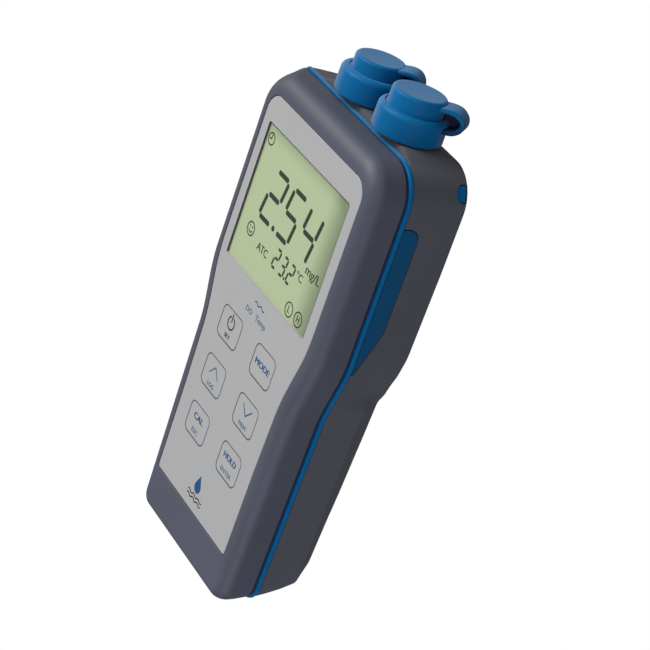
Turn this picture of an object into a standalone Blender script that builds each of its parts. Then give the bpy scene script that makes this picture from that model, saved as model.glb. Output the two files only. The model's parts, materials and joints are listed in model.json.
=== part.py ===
"""Handheld water quality meter with two probe sockets, lying on its back.

X runs across the meter, Y from the tail to the socket end, Z out of the display face.
The origin is at the middle of the bounding box's bottom. Sizes are in millimetres and
become metres when a mesh is made. A position is (x, s, z): x from the middle plane,
s from the tail end along the meter, z above the flat back.
"""
import math

import bmesh
import bpy
from mathutils import Matrix, Vector

MM = 0.001

# Whole meter
TOTAL_LENGTH = 176.8       # tail of the covers to the tops of the socket caps
GASKET_PROUD = 0.35        # how far the gasket stands out of the covers all round
SHELL_END = 160.2          # tail to the socket end of the covers at the parting line
BACK_END = 160.3           # the same on the back cover, below the parting line
SHELL_TAIL = -0.9          # tail end of the front cover
SWELLING = 2.2             # how far the sockets' seat stands out of the back cover's end
THICKNESS = 36.0
CORNER_RADIUS = 12.5       # socket end corners
TAIL_RADIUS = 6.3          # tail corners
WALL = 2.4
GAP = 0.3                  # clearance between neighbouring pieces

# Outline, seen from the front
UPPER_HALF_WIDTH = 39.1
WAIST_HALF_WIDTH = 34.4
TAIL_HALF_WIDTH = 32.3
WAIST_LOW = 68.0
WAIST_HIGH = 95.0

# The left socket end corner is tighter round the parting line: (level, radius)
LEFT_CORNER_RADII = ((0.0, 12.5), (12.0, 3.5), (20.0, 1.5), (24.0, 1.5), (28.0, 7.0), (33.0, 12.5))

# The back cover's tail end slants in towards the back: (level, s)
TAIL_SLANT = ((0.0, 7.0), (1.0, 6.8), (4.0, 6.1), (8.0, 5.0), (12.0, 3.1), (15.0, 2.1), (18.0, 1.2), (21.2, 0.35))
# Tail end of the front cover by level, and how much less its rounded edge turns in at the tail
FRONT_TAIL = ((23.9, 0.3), (28.0, -0.6), (30.8, SHELL_TAIL))
TAIL_EDGE_SHARE = 0.29

# Half-width of the flat back: (distance from tail, half-width)
BACK_WIDTHS = ((0.0, 23.4), (12.0, 23.8), (30.0, 25.2), (40.0, 26.2), (66.0, 28.1), (76.5, 28.7),
               (79.5, 30.8), (85.0, 32.5), (88.5, 34.0), (96.0, 35.7), (128.0, 36.7), (170.0, 37.0))

# Levels above the flat back
RIM = 21.2                 # rim of the back cover
GASKET_LOW = 21.4
GASKET_HIGH = 23.5
FRONT_RIM = 23.9
FRONT_EDGE_RADIUS = 5.2
FRONT_INSIDE = 32.8        # underside of the front cover's top wall
CHAMFER_TOP = 8.0          # where the lower half's side walls turn in to the back
BACK_INSIDE = 5.6          # top of the back cover's floor

# Keypad label, display window and display
LABEL_LOW, LABEL_HIGH = 35.0, 35.75
LABEL_TAIL, LABEL_END = 15.5, 153.0
LABEL_HALF_WIDTHS = ((0.0, 26.7), (48.0, 27.4), (66.0, 28.1), (72.6, 28.4), (78.0, 29.4),
                     (84.5, 30.9), (91.0, 32.6), (98.0, 33.3), (160.0, 33.3))
LABEL_RADIUS = 6.3
WINDOW_HALF_WIDTH = 28.9
WINDOW_LOW, WINDOW_HIGH = 96.4, 144.0
WINDOW_MARGIN = 1.3        # how far the display glass reaches under the label
PANEL_LOW, PANEL_HIGH = 32.4, 34.7

# Keys
KEY_COLUMN = 12.6
KEY_ROWS = (77.4, 59.2, 41.0)
KEY_SIZE = (13.6, 10.4)
KEY_RADIUS = 2.1
KEY_NAMES = (("key_power", "key_mode"), ("key_up", "key_down"), ("key_cal", "key_hold"))

# Probe sockets and their caps
SOCKET_X = 13.0
SOCKET_Z = 14.1
SEAT_HALF_WIDTH = 22.0
SWELLING_HALF_WIDTH = 23.4
SWELLING_FADE = 31.0
CAP_BASE = 162.8
CAP_RADIUS = 11.4
CAP_TAB_ANGLE = math.radians(44)
TAB_PATH = ((6.6, 11.9, 4.4), (10.4, 12.6, 4.4), (13.4, 12.5, 4.0), (15.6, 11.1, 3.4), (16.2, 9.2, 3.0),
            (15.4, 7.2, 3.2), (13.4, 5.9, 3.8), (10.4, 5.4, 4.0))     # pull loop: (reach, height, half-width)
WEB_LEVELS = (-2.8, -1.8)  # the web across the loop

# Feet in the side wall at the socket end corners
FOOT_RADIUS, FOOT_Z = 2.7, 1.7

# Battery compartment in the lower half of the back
DOOR_HALF_WIDTH = 20.5
DOOR_LOW, DOOR_HIGH = 17.5, 81.5
DOOR_INSIDE = 2.8
LEDGE = 4.0
CELL_RADIUS = 5.2
CELL_PITCH = 11.2
BAY_HALF_WIDTH = 17.4
BAY_LOW, BAY_HIGH = 25.2, 73.8

# Screws: (x, s) on the right-hand side
CASE_SCREWS = ((28.5, 150.0), (25.2, 87.5), (13.0, 13.0))
DOOR_SCREWS = ((16.0, 20.8), (16.0, 78.2))

# Circuit board
BOARD_LOW, BOARD_HIGH = 22.6, 24.2
BOARD_HALF_WIDTH = 29.5
BOARD_TAIL, BOARD_END = 26.0, 145.4


def collection(name):
    group = bpy.data.collections.new(name)
    bpy.context.scene.collection.children.link(group)
    return group


for old in list(bpy.data.objects):
    bpy.data.objects.remove(old)
PARTS = collection("water_quality_meter")
HELPERS = collection("cutters")


def material(name, color, roughness, metallic=0.0):
    made = bpy.data.materials.new(name)
    made.use_nodes = True
    shader = made.node_tree.nodes["Principled BSDF"]
    shader.inputs["Base Color"].default_value = (*color, 1.0)
    shader.inputs["Roughness"].default_value = roughness
    shader.inputs["Metallic"].default_value = metallic
    return made


FRONT_PLASTIC = material("front_plastic", (0.081, 0.086, 0.116), 0.5)
BACK_PLASTIC = material("back_plastic", (0.088, 0.091, 0.108), 0.55)
BLUE_RUBBER = material("blue_rubber", (0.003, 0.135, 0.340), 0.5)
LABEL_GREY = material("label_grey", (0.405, 0.405, 0.400), 0.5)
CLEAR = material("clear_window", (0.80, 0.86, 0.80), 0.05)
LCD_GREEN = material("lcd_green", (0.436, 0.520, 0.290), 0.4)
WHITE_PLASTIC = material("white_plastic", (0.75, 0.75, 0.72), 0.5)
BOARD_GREEN = material("board_green", (0.02, 0.16, 0.06), 0.45)
DARK_PLASTIC = material("dark_plastic", (0.02, 0.02, 0.022), 0.45)
NICKEL = material("nickel", (0.62, 0.61, 0.58), 0.25, 1.0)
STEEL = material("steel", (0.55, 0.55, 0.56), 0.3, 1.0)
SILICONE = material("silicone", (0.30, 0.31, 0.32), 0.6)
CELL_WRAP = material("cell_wrap", (0.09, 0.10, 0.11), 0.35)


def place(x, s, z):
    """World position, in metres, of the point (x, s, z)."""
    return Vector((x, s - (TOTAL_LENGTH + SHELL_TAIL) / 2, z)) * MM


def new_object(name, bm, look, origin=None, group=None):
    """An object whose mesh is bm, in metres and world places, with its origin at (x, s, z)."""
    start = place(*origin) if origin else Vector((0.0, 0.0, 0.0))
    bm.transform(Matrix.Translation(-start))
    mesh = bpy.data.meshes.new(name)
    bm.to_mesh(mesh)
    bm.free()
    if look:
        mesh.materials.append(look)
    made = bpy.data.objects.new(name, mesh)
    made.location = start
    (group or PARTS).objects.link(made)
    return made


def helper(name, bm):
    """A cutter or a piece to be joined, which isn't a part by itself."""
    made = new_object(name, bm, None, group=HELPERS)
    made.hide_render = True
    made.display_type = "WIRE"
    return made


def combine(target, other, operation="DIFFERENCE"):
    step = target.modifiers.new(other.name, "BOOLEAN")
    step.operation = operation
    step.object = other
    return target


def facing_out(bm):
    """Turns the faces of one closed solid outwards."""
    bmesh.ops.recalc_face_normals(bm, faces=bm.faces)
    if bm.calc_volume(signed=True) < 0.0:
        bmesh.ops.reverse_faces(bm, faces=bm.faces)
    return bm


def loft_mesh(rings, closed=False):
    """Faces between rings of points (x, s, z); the end rings are capped unless the loft closes on itself."""
    bm = bmesh.new()
    made = [[bm.verts.new(place(*point)) for point in ring] for ring in rings]
    pairs = list(zip(made, made[1:]))
    if closed:
        pairs.append((made[-1], made[0]))
    for low, high in pairs:
        for i in range(len(low)):
            j = (i + 1) % len(low)
            bm.faces.new((low[i], low[j], high[j], high[i]))
    if not closed:
        bm.faces.new(reversed(made[0]))
        bm.faces.new(made[-1])
    return facing_out(bm)


def prism_mesh(outline, low, high):
    """A flat outline of (x, s) points, extruded between two levels."""
    return loft_mesh([[(x, s, z) for x, s in outline] for z in (low, high)])


def ring_mesh(outer, inner, low, high):
    """The band between two outlines with the same number of points."""
    levels = ((outer, low), (outer, high), (inner, high), (inner, low))
    return loft_mesh([[(x, s, z) for x, s in outline] for outline, z in levels], closed=True)


def box_mesh(x_low, x_high, s_low, s_high, z_low, z_high):
    bm = bmesh.new()
    bmesh.ops.create_cube(bm, size=1.0)
    low, high = place(x_low, s_low, z_low), place(x_high, s_high, z_high)
    bmesh.ops.scale(bm, vec=high - low, verts=bm.verts)
    bmesh.ops.translate(bm, vec=(low + high) / 2, verts=bm.verts)
    return bm


def rod_mesh(radius, start, end, sides=16, end_radius=None):
    """A cylinder, or a cone frustum, between two points (x, s, z)."""
    bm = bmesh.new()
    low, high = place(*start), place(*end)
    run = high - low
    tip = radius if end_radius is None else end_radius
    bmesh.ops.create_cone(bm, cap_ends=True, segments=sides, radius1=radius * MM, radius2=tip * MM,
                          depth=run.length)
    turn = run.to_track_quat("Z", "Y").to_matrix().to_4x4()
    bm.transform(Matrix.Translation((low + high) / 2) @ turn)
    return facing_out(bm)


def merged(meshes):
    """One mesh holding several separate solids."""
    whole = bmesh.new()
    for bm in meshes:
        passing = bpy.data.meshes.new("passing")
        bm.to_mesh(passing)
        bm.free()
        whole.from_mesh(passing)
        bpy.data.meshes.remove(passing)
    return whole


def rounded_rectangle(x_low, x_high, s_low, s_high, radius, steps=3):
    """Outline of (x, s) points, counter-clockwise, with steps + 1 points in each corner."""
    centres = ((x_high - radius, s_high - radius), (x_low + radius, s_high - radius),
               (x_low + radius, s_low + radius), (x_high - radius, s_low + radius))
    points = []
    for quarter, (x, s) in enumerate(centres):
        for i in range(steps + 1):
            angle = math.pi / 2 * (quarter + i / steps)
            points.append((x + radius * math.cos(angle), s + radius * math.sin(angle)))
    return points


def turned(name, profile, base, look, steps=24):
    """A solid of revolution about Y. Its profile is (radius, height) points, from the top down the outside."""
    bm = bmesh.new()
    points = [bm.verts.new((radius * MM, 0.0, height * MM)) for radius, height in profile]
    for low, high in zip(points, points[1:]):
        bm.edges.new((low, high))
    mesh = bpy.data.meshes.new(name)
    bm.to_mesh(mesh)
    bm.free()
    mesh.materials.append(look)
    made = bpy.data.objects.new(name, mesh)
    made.location = place(*base)
    made.rotation_euler = (-math.pi / 2, 0.0, 0.0)
    PARTS.objects.link(made)
    spin = made.modifiers.new("turn", "SCREW")
    spin.steps = steps
    spin.render_steps = steps
    spin.use_merge_vertices = True
    spin.merge_threshold = 0.00001
    return made


def mirrored(places):
    """The given (x, s) places and their mirror images across the middle plane."""
    return [(side * x, s) for x, s in places for side in (1, -1)]


def smooth_step(value):
    t = min(max(value, 0.0), 1.0)
    return t * t * (3.0 - 2.0 * t)


def along(knots, s):
    """Reads a (position, value) list at s, in straight runs."""
    for (s0, v0), (s1, v1) in zip(knots, knots[1:]):
        if s <= s1:
            return v0 + (v1 - v0) * max(s - s0, 0.0) / (s1 - s0)
    return knots[-1][1]


def front_half_width(s):
    """Half-width of the front cover, the gasket and the back cover's rim."""
    lower = TAIL_HALF_WIDTH + (WAIST_HALF_WIDTH - TAIL_HALF_WIDTH) * min(s / WAIST_LOW, 1.0)
    return lower + (UPPER_HALF_WIDTH - lower) * smooth_step((s - WAIST_LOW) / (WAIST_HIGH - WAIST_LOW))


def chamfer_half_width(s):
    """Half-width at CHAMFER_TOP: nearly upright below the waist, sloping to the back above it."""
    front = front_half_width(s)
    slope = (front - along(BACK_WIDTHS, s)) * (RIM - CHAMFER_TOP) / RIM
    upright = 0.8
    return front - (upright + (slope - upright) * smooth_step((s - 75.0) / 6.0))


def back_cover_half_width(s, z):
    """Half-width of the back cover at any level."""
    if z >= CHAMFER_TOP:
        t = (RIM - z) / (RIM - CHAMFER_TOP)
        return front_half_width(s) * (1 - t) + chamfer_half_width(s) * t
    t = z / CHAMFER_TOP
    return along(BACK_WIDTHS, s) * (1 - t) + chamfer_half_width(s) * t


SIDE_POINTS = (24.0, 46.0, 67.0, 72.0, 75.5, 79.5, 83.0, 87.0, 91.0, 95.0, 105.0, 113.0, 121.0, 129.0)


def half_outline(half_width, end, tail, inset, swelling, radius):
    """Right-hand half of the meter's outline, tail first; the swelling lifts the middle of the socket end."""
    end_radius = max(radius - inset, 1.0)
    tail_radius = max(TAIL_RADIUS - inset, 1.0)
    end_s = end - inset - end_radius
    tail_s = tail + inset + tail_radius
    tail_x = half_width(tail_s) - inset - tail_radius
    end_x = half_width(end_s) - inset - end_radius
    half = []
    for i in range(4):
        angle = math.pi / 2 * (i / 3 - 1)
        half.append((tail_x + tail_radius * math.cos(angle), tail_s + tail_radius * math.sin(angle)))
    half += [(half_width(s) - inset, s) for s in SIDE_POINTS]
    for i in range(7):
        angle = math.pi / 2 * i / 6
        half.append((end_x + end_radius * math.cos(angle), end_s + end_radius * math.sin(angle)))
    for i in range(1, 4):
        half.append((end_x + (SEAT_HALF_WIDTH - end_x) * i / 3, end - inset))
    lifted = []
    for x, s in half:
        fade = 1.0 - smooth_step((x - SWELLING_HALF_WIDTH) / (SWELLING_FADE - SWELLING_HALF_WIDTH))
        lifted.append((x, s + swelling * fade if s > end_s else s))
    return lifted


def body_outline(half_width, end, tail, z, inset=0.0, swelling=0.0):
    """Outline of the meter at level z: two tail corners, two waisted sides and two socket end corners."""
    right = half_outline(half_width, end, tail, inset, swelling, CORNER_RADIUS)
    left = half_outline(half_width, end, tail, inset, swelling, along(LEFT_CORNER_RADII, z))
    return right + [(-x, s) for x, s in reversed(left)]


def label_outline(grow=0.0):
    """Outline of the keypad label, with rounded corners at its socket end."""
    radius = LABEL_RADIUS + grow
    small = 1.0 + grow
    tail, end = LABEL_TAIL - grow, LABEL_END + grow

    def half(s):
        return along(LABEL_HALF_WIDTHS, s) + grow

    right = [(half(tail) - small, tail), (half(tail) - small * 0.3, tail + small * 0.3),
             (half(tail), tail + small)]
    right += [(half(s), s) for s in (40.0, 60.0, 69.0, 75.0, 80.0, 86.0, 92.0, 98.0, 125.0)]
    for i in range(7):
        angle = math.pi / 2 * i / 6
        right.append((half(end) - radius * (1 - math.cos(angle)), end - radius * (1 - math.sin(angle))))
    return right + [(-x, s) for x, s in reversed(right)]


def window_outline(grow, radius=1.5):
    return rounded_rectangle(-WINDOW_HALF_WIDTH - grow, WINDOW_HALF_WIDTH + grow,
                             WINDOW_LOW - grow, WINDOW_HIGH + grow, radius)


def key_outline(x, s, grow=0.0):
    width, height = KEY_SIZE
    return rounded_rectangle(x - width / 2 - grow, x + width / 2 + grow,
                             s - height / 2 - grow, s + height / 2 + grow, KEY_RADIUS + grow)


def key_places():
    for row, names in zip(KEY_ROWS, KEY_NAMES):
        for x, name in zip((-KEY_COLUMN, KEY_COLUMN), names):
            yield name, x, row


def front_ring(z, inset, tail_shift=0.0):
    """Outline of the front cover or the gasket at level z."""
    tail = along(FRONT_TAIL, z) + tail_shift
    return [(x, s, z) for x, s in body_outline(front_half_width, SHELL_END, tail, z, inset)]


def front_cover():
    """Upper half of the case: a tray, mouth down, with a rounded front edge."""
    radius = FRONT_EDGE_RADIUS
    rings = []
    for degrees in (90, 67.5, 45, 22.5, 0):
        angle = math.radians(degrees)
        inset = radius * (1 - math.cos(angle))
        rings.append(front_ring(THICKNESS - radius * (1 - math.sin(angle)), inset, -TAIL_EDGE_SHARE * inset))
    rings += [front_ring(28.0, 0.0), front_ring(FRONT_RIM, 0.0)]
    rings += [front_ring(FRONT_RIM, WALL), front_ring(28.0, WALL), front_ring(FRONT_INSIDE, WALL)]
    cover = new_object("front_cover", loft_mesh(rings), FRONT_PLASTIC)
    posts = merged([rod_mesh(3.4, (x, s, FRONT_RIM - 0.3), (x, s, FRONT_INSIDE + 0.8))
                    for x, s in mirrored(CASE_SCREWS)])
    combine(cover, helper("front_posts", posts), "UNION")
    pocket = prism_mesh(label_outline(0.25), LABEL_LOW - GAP, THICKNESS + 5)
    combine(cover, helper("label_pocket", pocket))
    opening = prism_mesh(window_outline(WINDOW_MARGIN + GAP), FRONT_INSIDE - 3, THICKNESS + 5)
    combine(cover, helper("display_opening", opening))
    wells = merged([prism_mesh(key_outline(x, s, 0.35), FRONT_INSIDE + 0.6, THICKNESS + 5)
                    for _, x, s in key_places()])
    combine(cover, helper("key_wells", wells))
    guides = merged([rod_mesh(2.6, (x, s, FRONT_INSIDE - 3), (x, s, THICKNESS + 5))
                     for _, x, s in key_places()])
    combine(cover, helper("key_guides", guides))
    holes = merged([rod_mesh(1.6, (x, s, FRONT_RIM - 3), (x, s, 30.4), sides=16)
                    for x, s in mirrored(CASE_SCREWS)])
    combine(cover, helper("front_post_holes", holes))
    return cover


def back_cover_ring(z, inset=0.0, end=BACK_END, swelling=0.0):
    tail = along(TAIL_SLANT, z)
    outline = body_outline(lambda s: back_cover_half_width(s, z), end, tail, z, inset, swelling)
    return [(x, s, z) for x, s in outline]


def grip_section(side, s, z_low, z_high, outside, depth):
    """Cross-section of a side grip: a strip that follows the slope of the side wall."""
    section = []
    for z, offset in ((z_low, outside), (z_high, outside), (z_high, -depth), (z_low, -depth)):
        section.append((side * (back_cover_half_width(s, z) + offset), s, z))
    return section


GRIP_LOW_EDGE = ((91.0, 20.5), (95.0, 18.9), (99.0, 17.1), (103.0, 15.4), (106.5, 14.5),
                 (115.0, 14.5), (125.0, 14.5), (134.0, 14.5), (138.0, 14.5), (140.2, 15.2),
                 (141.5, 16.6), (142.0, 18.6))


def grip_mesh(side, margin, outside, depth):
    rings = []
    last = len(GRIP_LOW_EDGE) - 1
    for i, (s, z_low) in enumerate(GRIP_LOW_EDGE):
        shift = -margin if i == 0 else margin if i == last else 0.0
        rings.append(grip_section(side, s + shift, z_low - margin, RIM - 0.1 + margin * 4, outside, depth))
    return loft_mesh(rings)


def foot_mesh(side, radius, inner, outer, floor):
    """A disc in the side wall at a socket end corner, cut flat at the floor level.

    inner and outer are depths along its axis.
    """
    angle = math.radians(31)
    nx, ns = math.cos(angle), math.sin(angle)
    centre_x = along(BACK_WIDTHS, 150.0) - CORNER_RADIUS
    centre_s = BACK_END - CORNER_RADIUS

    def at(distance):
        reach = CORNER_RADIUS + distance
        return (side * (centre_x + reach * nx), centre_s + reach * ns, FOOT_Z)

    disc = rod_mesh(radius, at(inner), at(outer))
    for vertex in disc.verts:
        vertex.co.z = max(vertex.co.z, floor * MM)
    return disc


def back_cover():
    """Lower half of the case, with the battery bay, the grip recesses and the socket holes."""
    rings = [back_cover_ring(0.0, inset=0.9),
             back_cover_ring(1.0, swelling=1.0),
             back_cover_ring(4.0, swelling=SWELLING),
             back_cover_ring(CHAMFER_TOP, swelling=SWELLING),
             back_cover_ring(12.0, swelling=SWELLING),
             back_cover_ring(15.0, swelling=SWELLING),
             back_cover_ring(18.0, swelling=SWELLING),
             back_cover_ring(20.2, swelling=SWELLING),
             back_cover_ring(RIM, end=SHELL_END, swelling=SWELLING - 1.0),
             back_cover_ring(RIM, inset=WALL, end=SHELL_END),
             back_cover_ring(15.0, inset=WALL, end=SHELL_END),
             back_cover_ring(CHAMFER_TOP, inset=WALL, end=SHELL_END),
             back_cover_ring(BACK_INSIDE, inset=WALL + 0.8, end=SHELL_END)]
    cover = new_object("back_cover", loft_mesh(rings), BACK_PLASTIC)
    bay = box_mesh(-BAY_HALF_WIDTH - 2, BAY_HALF_WIDTH + 2, BAY_LOW - 2, BAY_HIGH + 2,
                   BACK_INSIDE - 0.8, 17.2)
    combine(cover, helper("battery_bay", bay), "UNION")
    columns = [rod_mesh(4.2, (x, s, BACK_INSIDE - 0.8), (x, s, RIM - 0.3))
               for x, s in mirrored(CASE_SCREWS)]
    columns += [rod_mesh(2.8, (x, s, BACK_INSIDE - 0.8), (x, s, 10.0))
                for x, s in mirrored(DOOR_SCREWS)]
    combine(cover, helper("screw_columns", merged(columns)), "UNION")
    recess = prism_mesh(rounded_rectangle(-DOOR_HALF_WIDTH - GAP, DOOR_HALF_WIDTH + GAP, DOOR_LOW - GAP,
                                          DOOR_HIGH + GAP, 3.3), -2.0, LEDGE)
    combine(cover, helper("door_recess", recess))
    space = box_mesh(-BAY_HALF_WIDTH, BAY_HALF_WIDTH, BAY_LOW, BAY_HIGH, -2.0, 15.6)
    combine(cover, helper("battery_space", space))
    heads = merged([rod_mesh(3.1, (x, s, -2.0), (x, s, 3.5)) for x, s in mirrored(CASE_SCREWS)])
    combine(cover, helper("screw_head_recesses", heads))
    shanks = [rod_mesh(1.6, (x, s, -2.0), (x, s, RIM + 2), sides=16) for x, s in mirrored(CASE_SCREWS)]
    shanks += [rod_mesh(1.35, (x, s, -2.0), (x, s, 8.6), sides=16) for x, s in mirrored(DOOR_SCREWS)]
    combine(cover, helper("screw_holes", merged(shanks)))
    sockets = merged([rod_mesh(6.7, (x, 150.0, SOCKET_Z), (x, 170.0, SOCKET_Z), sides=24)
                      for x in (SOCKET_X, -SOCKET_X)])
    combine(cover, helper("socket_holes", sockets))
    for side, word in ((1, "right"), (-1, "left")):
        grip = helper("grip_recess_" + word, grip_mesh(side, GAP, 3.0, 1.5 + GAP))
        combine(cover, grip)
        scoop = helper("foot_recess_" + word, foot_mesh(side, FOOT_RADIUS + GAP, -2.9, 3.0, 0.5))
        combine(cover, scoop)
    return cover


def gasket():
    rings = [front_ring(z, inset) for z, inset in ((GASKET_LOW, -GASKET_PROUD), (GASKET_HIGH, -GASKET_PROUD),
                                                   (GASKET_HIGH, 2.3), (GASKET_LOW, 2.3))]
    new_object("parting_gasket", loft_mesh(rings, closed=True), BLUE_RUBBER)


def grips_and_feet():
    for side, word in ((1, "right"), (-1, "left")):
        new_object("grip_pad_" + word, grip_mesh(side, 0.0, 0.25, 1.5), BLUE_RUBBER)
        new_object("corner_foot_" + word, foot_mesh(side, FOOT_RADIUS, -2.6, -0.5, 0.5 + GAP), BLUE_RUBBER)


def keypad_label():
    label = new_object("keypad_label", prism_mesh(label_outline(), LABEL_LOW, LABEL_HIGH), LABEL_GREY)
    opening = prism_mesh(window_outline(0.0), LABEL_LOW - 2, LABEL_HIGH + 2)
    combine(label, helper("label_window", opening))
    cuts = merged([prism_mesh(key_outline(x, s, 0.3), LABEL_LOW - 2, LABEL_HIGH + 2)
                   for _, x, s in key_places()])
    combine(label, helper("label_keys", cuts))


def display():
    """Window, display glass, backlight, frame and the rubber contact strips."""
    window = prism_mesh(window_outline(-GAP, 1.2), LABEL_LOW - 0.05, LABEL_HIGH - 0.1)
    new_object("display_window", window, CLEAR)
    low, high = WINDOW_LOW - WINDOW_MARGIN, WINDOW_HIGH + WINDOW_MARGIN
    panel = prism_mesh(window_outline(WINDOW_MARGIN), PANEL_LOW, PANEL_HIGH)
    new_object("lcd_panel", panel, LCD_GREEN)
    under = PANEL_LOW - GAP
    new_object("backlight_plate", box_mesh(-29.0, 29.0, low + 4.2, high - 4.2, 28.8, under), WHITE_PLASTIC)
    outer = rounded_rectangle(-31.0, 31.0, low - 1.2, high + 1.2, 1.2)
    inner = rounded_rectangle(-29.8, 29.8, low - 0.3, high + 0.3, 0.3)
    new_object("lcd_frame", ring_mesh(outer, inner, 25.0, under), DARK_PLASTIC)
    for s, word in ((low + 0.7, "lower"), (high - 3.5, "upper")):
        strip = box_mesh(-27.0, 27.0, s, s + 2.8, BOARD_HIGH + GAP, under)
        new_object("lcd_contact_strip_" + word, strip, SILICONE)


def keys():
    """Six keys, each a plate with a stem that reaches down to its switch."""
    plate_low = LABEL_HIGH - 1.45
    for name, x, s in key_places():
        origin = (x, s, LABEL_HIGH)
        key = new_object(name, prism_mesh(key_outline(x, s), plate_low, LABEL_HIGH), LABEL_GREY, origin)
        stem = rod_mesh(2.2, (x, s, 26.0), (x, s, plate_low + 0.6), sides=16)
        combine(key, helper(name + "_stem", stem), "UNION")


def board():
    outline = rounded_rectangle(-BOARD_HALF_WIDTH, BOARD_HALF_WIDTH, BOARD_TAIL, BOARD_END, 2.0)
    plate = new_object("circuit_board", prism_mesh(outline, BOARD_LOW, BOARD_HIGH), BOARD_GREEN)
    holes = merged([rod_mesh(4.4, (x, s, BOARD_LOW - 2), (x, s, BOARD_HIGH + 2))
                    for x, s in mirrored(CASE_SCREWS[1:2])])
    combine(plate, helper("board_holes", holes))
    sheet_low = BOARD_HIGH + GAP
    sheet = new_object("switch_sheet", box_mesh(-20.0, 20.0, 34.0, 84.5, sheet_low, sheet_low + 0.3), STEEL)
    domes = merged([rod_mesh(3.4, (x, s, sheet_low + 0.1), (x, s, 25.3), sides=12, end_radius=2.4)
                    for _, x, s in key_places()])
    combine(sheet, helper("switch_domes", domes), "UNION")
    under = BOARD_LOW - GAP
    new_object("processor_chip", box_mesh(-6.0, 6.0, 104.0, 116.0, under - 1.4, under), DARK_PLASTIC)
    new_object("buzzer", rod_mesh(6.0, (0.0, 90.0, under - 3.2), (0.0, 90.0, under)), DARK_PLASTIC)
    for side, word in ((1, "right"), (-1, "left")):
        x = side * SOCKET_X
        plug = box_mesh(x - 4.0, x + 4.0, 135.5, 141.0, under - 3.5, under)
        new_object("board_header_" + word, plug, WHITE_PLASTIC)


def sockets():
    """Probe sockets with their seals, inner nuts, contact inserts and leads."""
    barrel = ((0.0, 0.0), (4.9, 0.0), (4.9, 12.0), (6.3, 12.0), (6.3, 6.2), (9.2, 6.2), (9.2, 4.8),
              (6.3, 4.8), (6.3, -9.0), (0.0, -9.0))
    base = 159.0
    for side, word in ((1, "right"), (-1, "left")):
        x = side * SOCKET_X
        turned("probe_socket_" + word, barrel, (x, base, SOCKET_Z), NICKEL)
        ring = [[(x + r * math.cos(a), s, SOCKET_Z + r * math.sin(a))
                 for a in (math.tau * i / 20 for i in range(20))]
                for r, s in ((8.8, 162.75), (8.8, 163.5), (6.7, 163.5), (6.7, 162.75))]
        new_object("socket_seal_" + word, loft_mesh(ring, closed=True), SILICONE)
        nut = [[(x + r * math.cos(a), s, SOCKET_Z + r * math.sin(a))
                for a in (math.tau * i / 12 for i in range(12))]
               for r, s in ((7.9, 153.0), (7.9, 155.4), (6.9, 155.4), (6.9, 153.0))]
        new_object("socket_nut_" + word, loft_mesh(nut, closed=True), STEEL)
        insert = new_object("socket_contacts_" + word,
                            rod_mesh(4.5, (x, base + GAP, SOCKET_Z), (x, 161.0, SOCKET_Z)), DARK_PLASTIC)
        pins = merged([rod_mesh(0.5, (x + 2.4 * math.cos(a), 160.0, SOCKET_Z + 2.4 * math.sin(a)),
                                (x + 2.4 * math.cos(a), 165.0, SOCKET_Z + 2.4 * math.sin(a)), sides=8)
                       for a in (math.tau * (i + 0.5) / 5 for i in range(5))])
        combine(insert, helper("socket_pins_" + word, pins), "UNION")
        lead("socket_leads_" + word, x)


def lead(name, x):
    """Wires from a socket to the plug on the board, as one flexible bundle."""
    path = bpy.data.curves.new(name, "CURVE")
    path.dimensions = "3D"
    path.bevel_depth = 1.2 * MM
    path.bevel_resolution = 2
    path.use_fill_caps = True
    spline = path.splines.new("POLY")
    points = ((149.7, SOCKET_Z), (147.0, 14.2), (145.0, 14.9), (143.8, 16.4), (143.1, 18.2),
              (142.8, 19.7), (142.1, 20.4), (141.4, 20.4))
    spline.points.add(len(points) - 1)
    for point, (s, z) in zip(spline.points, points):
        point.co = (*place(x, s, z), 1.0)
    path.materials.append(DARK_PLASTIC)
    PARTS.objects.link(bpy.data.objects.new(name, path))


def cap_profile(top_radius):
    """Two-step cap, hollow below: the wide step covers the flange and the narrow one the barrel."""
    return ((0.0, 14.0), (top_radius - 1.0, 14.0), (top_radius - 0.3, 13.7), (top_radius, 13.0),
            (top_radius, 9.3), (top_radius - 0.4, 8.9), (top_radius - 0.4, 8.5), (9.9, 8.3), (10.9, 7.7),
            (CAP_RADIUS, 6.6), (CAP_RADIUS, 0.0), (9.7, 0.0), (9.7, 3.1), (6.7, 3.1), (6.7, 10.4),
            (0.0, 10.4))


def tab_mesh(x):
    """Pull loop: a strap that leaves the cap's narrow step, curls down and meets the wide step."""
    rings = []
    for i, (reach, height, half) in enumerate(TAB_PATH):
        r0, h0, _ = TAB_PATH[max(i - 1, 0)]
        r1, h1, _ = TAB_PATH[min(i + 1, len(TAB_PATH) - 1)]
        run = Vector((r1 - r0, h1 - h0)).normalized()
        rings.append([tab_place(x, reach - run.y * b, height + run.x * b, a)
                      for a, b in ((-half, -0.8), (half, -0.8), (half, 0.8), (-half, 0.8))])
    return loft_mesh(rings)


def web_mesh(x):
    """Thin web that closes the back of the pull loop."""
    return loft_mesh([[tab_place(x, reach, height, a) for reach, height, _ in TAB_PATH]
                      for a in WEB_LEVELS])


def tab_place(x, reach, height, across):
    """A place on a cap's loop: reach out from the cap's axis, height above its base, and across the strap."""
    cos, sin = math.cos(CAP_TAB_ANGLE), math.sin(CAP_TAB_ANGLE)
    return (x + reach * cos + across * sin, CAP_BASE + height, SOCKET_Z - reach * sin + across * cos)


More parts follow.
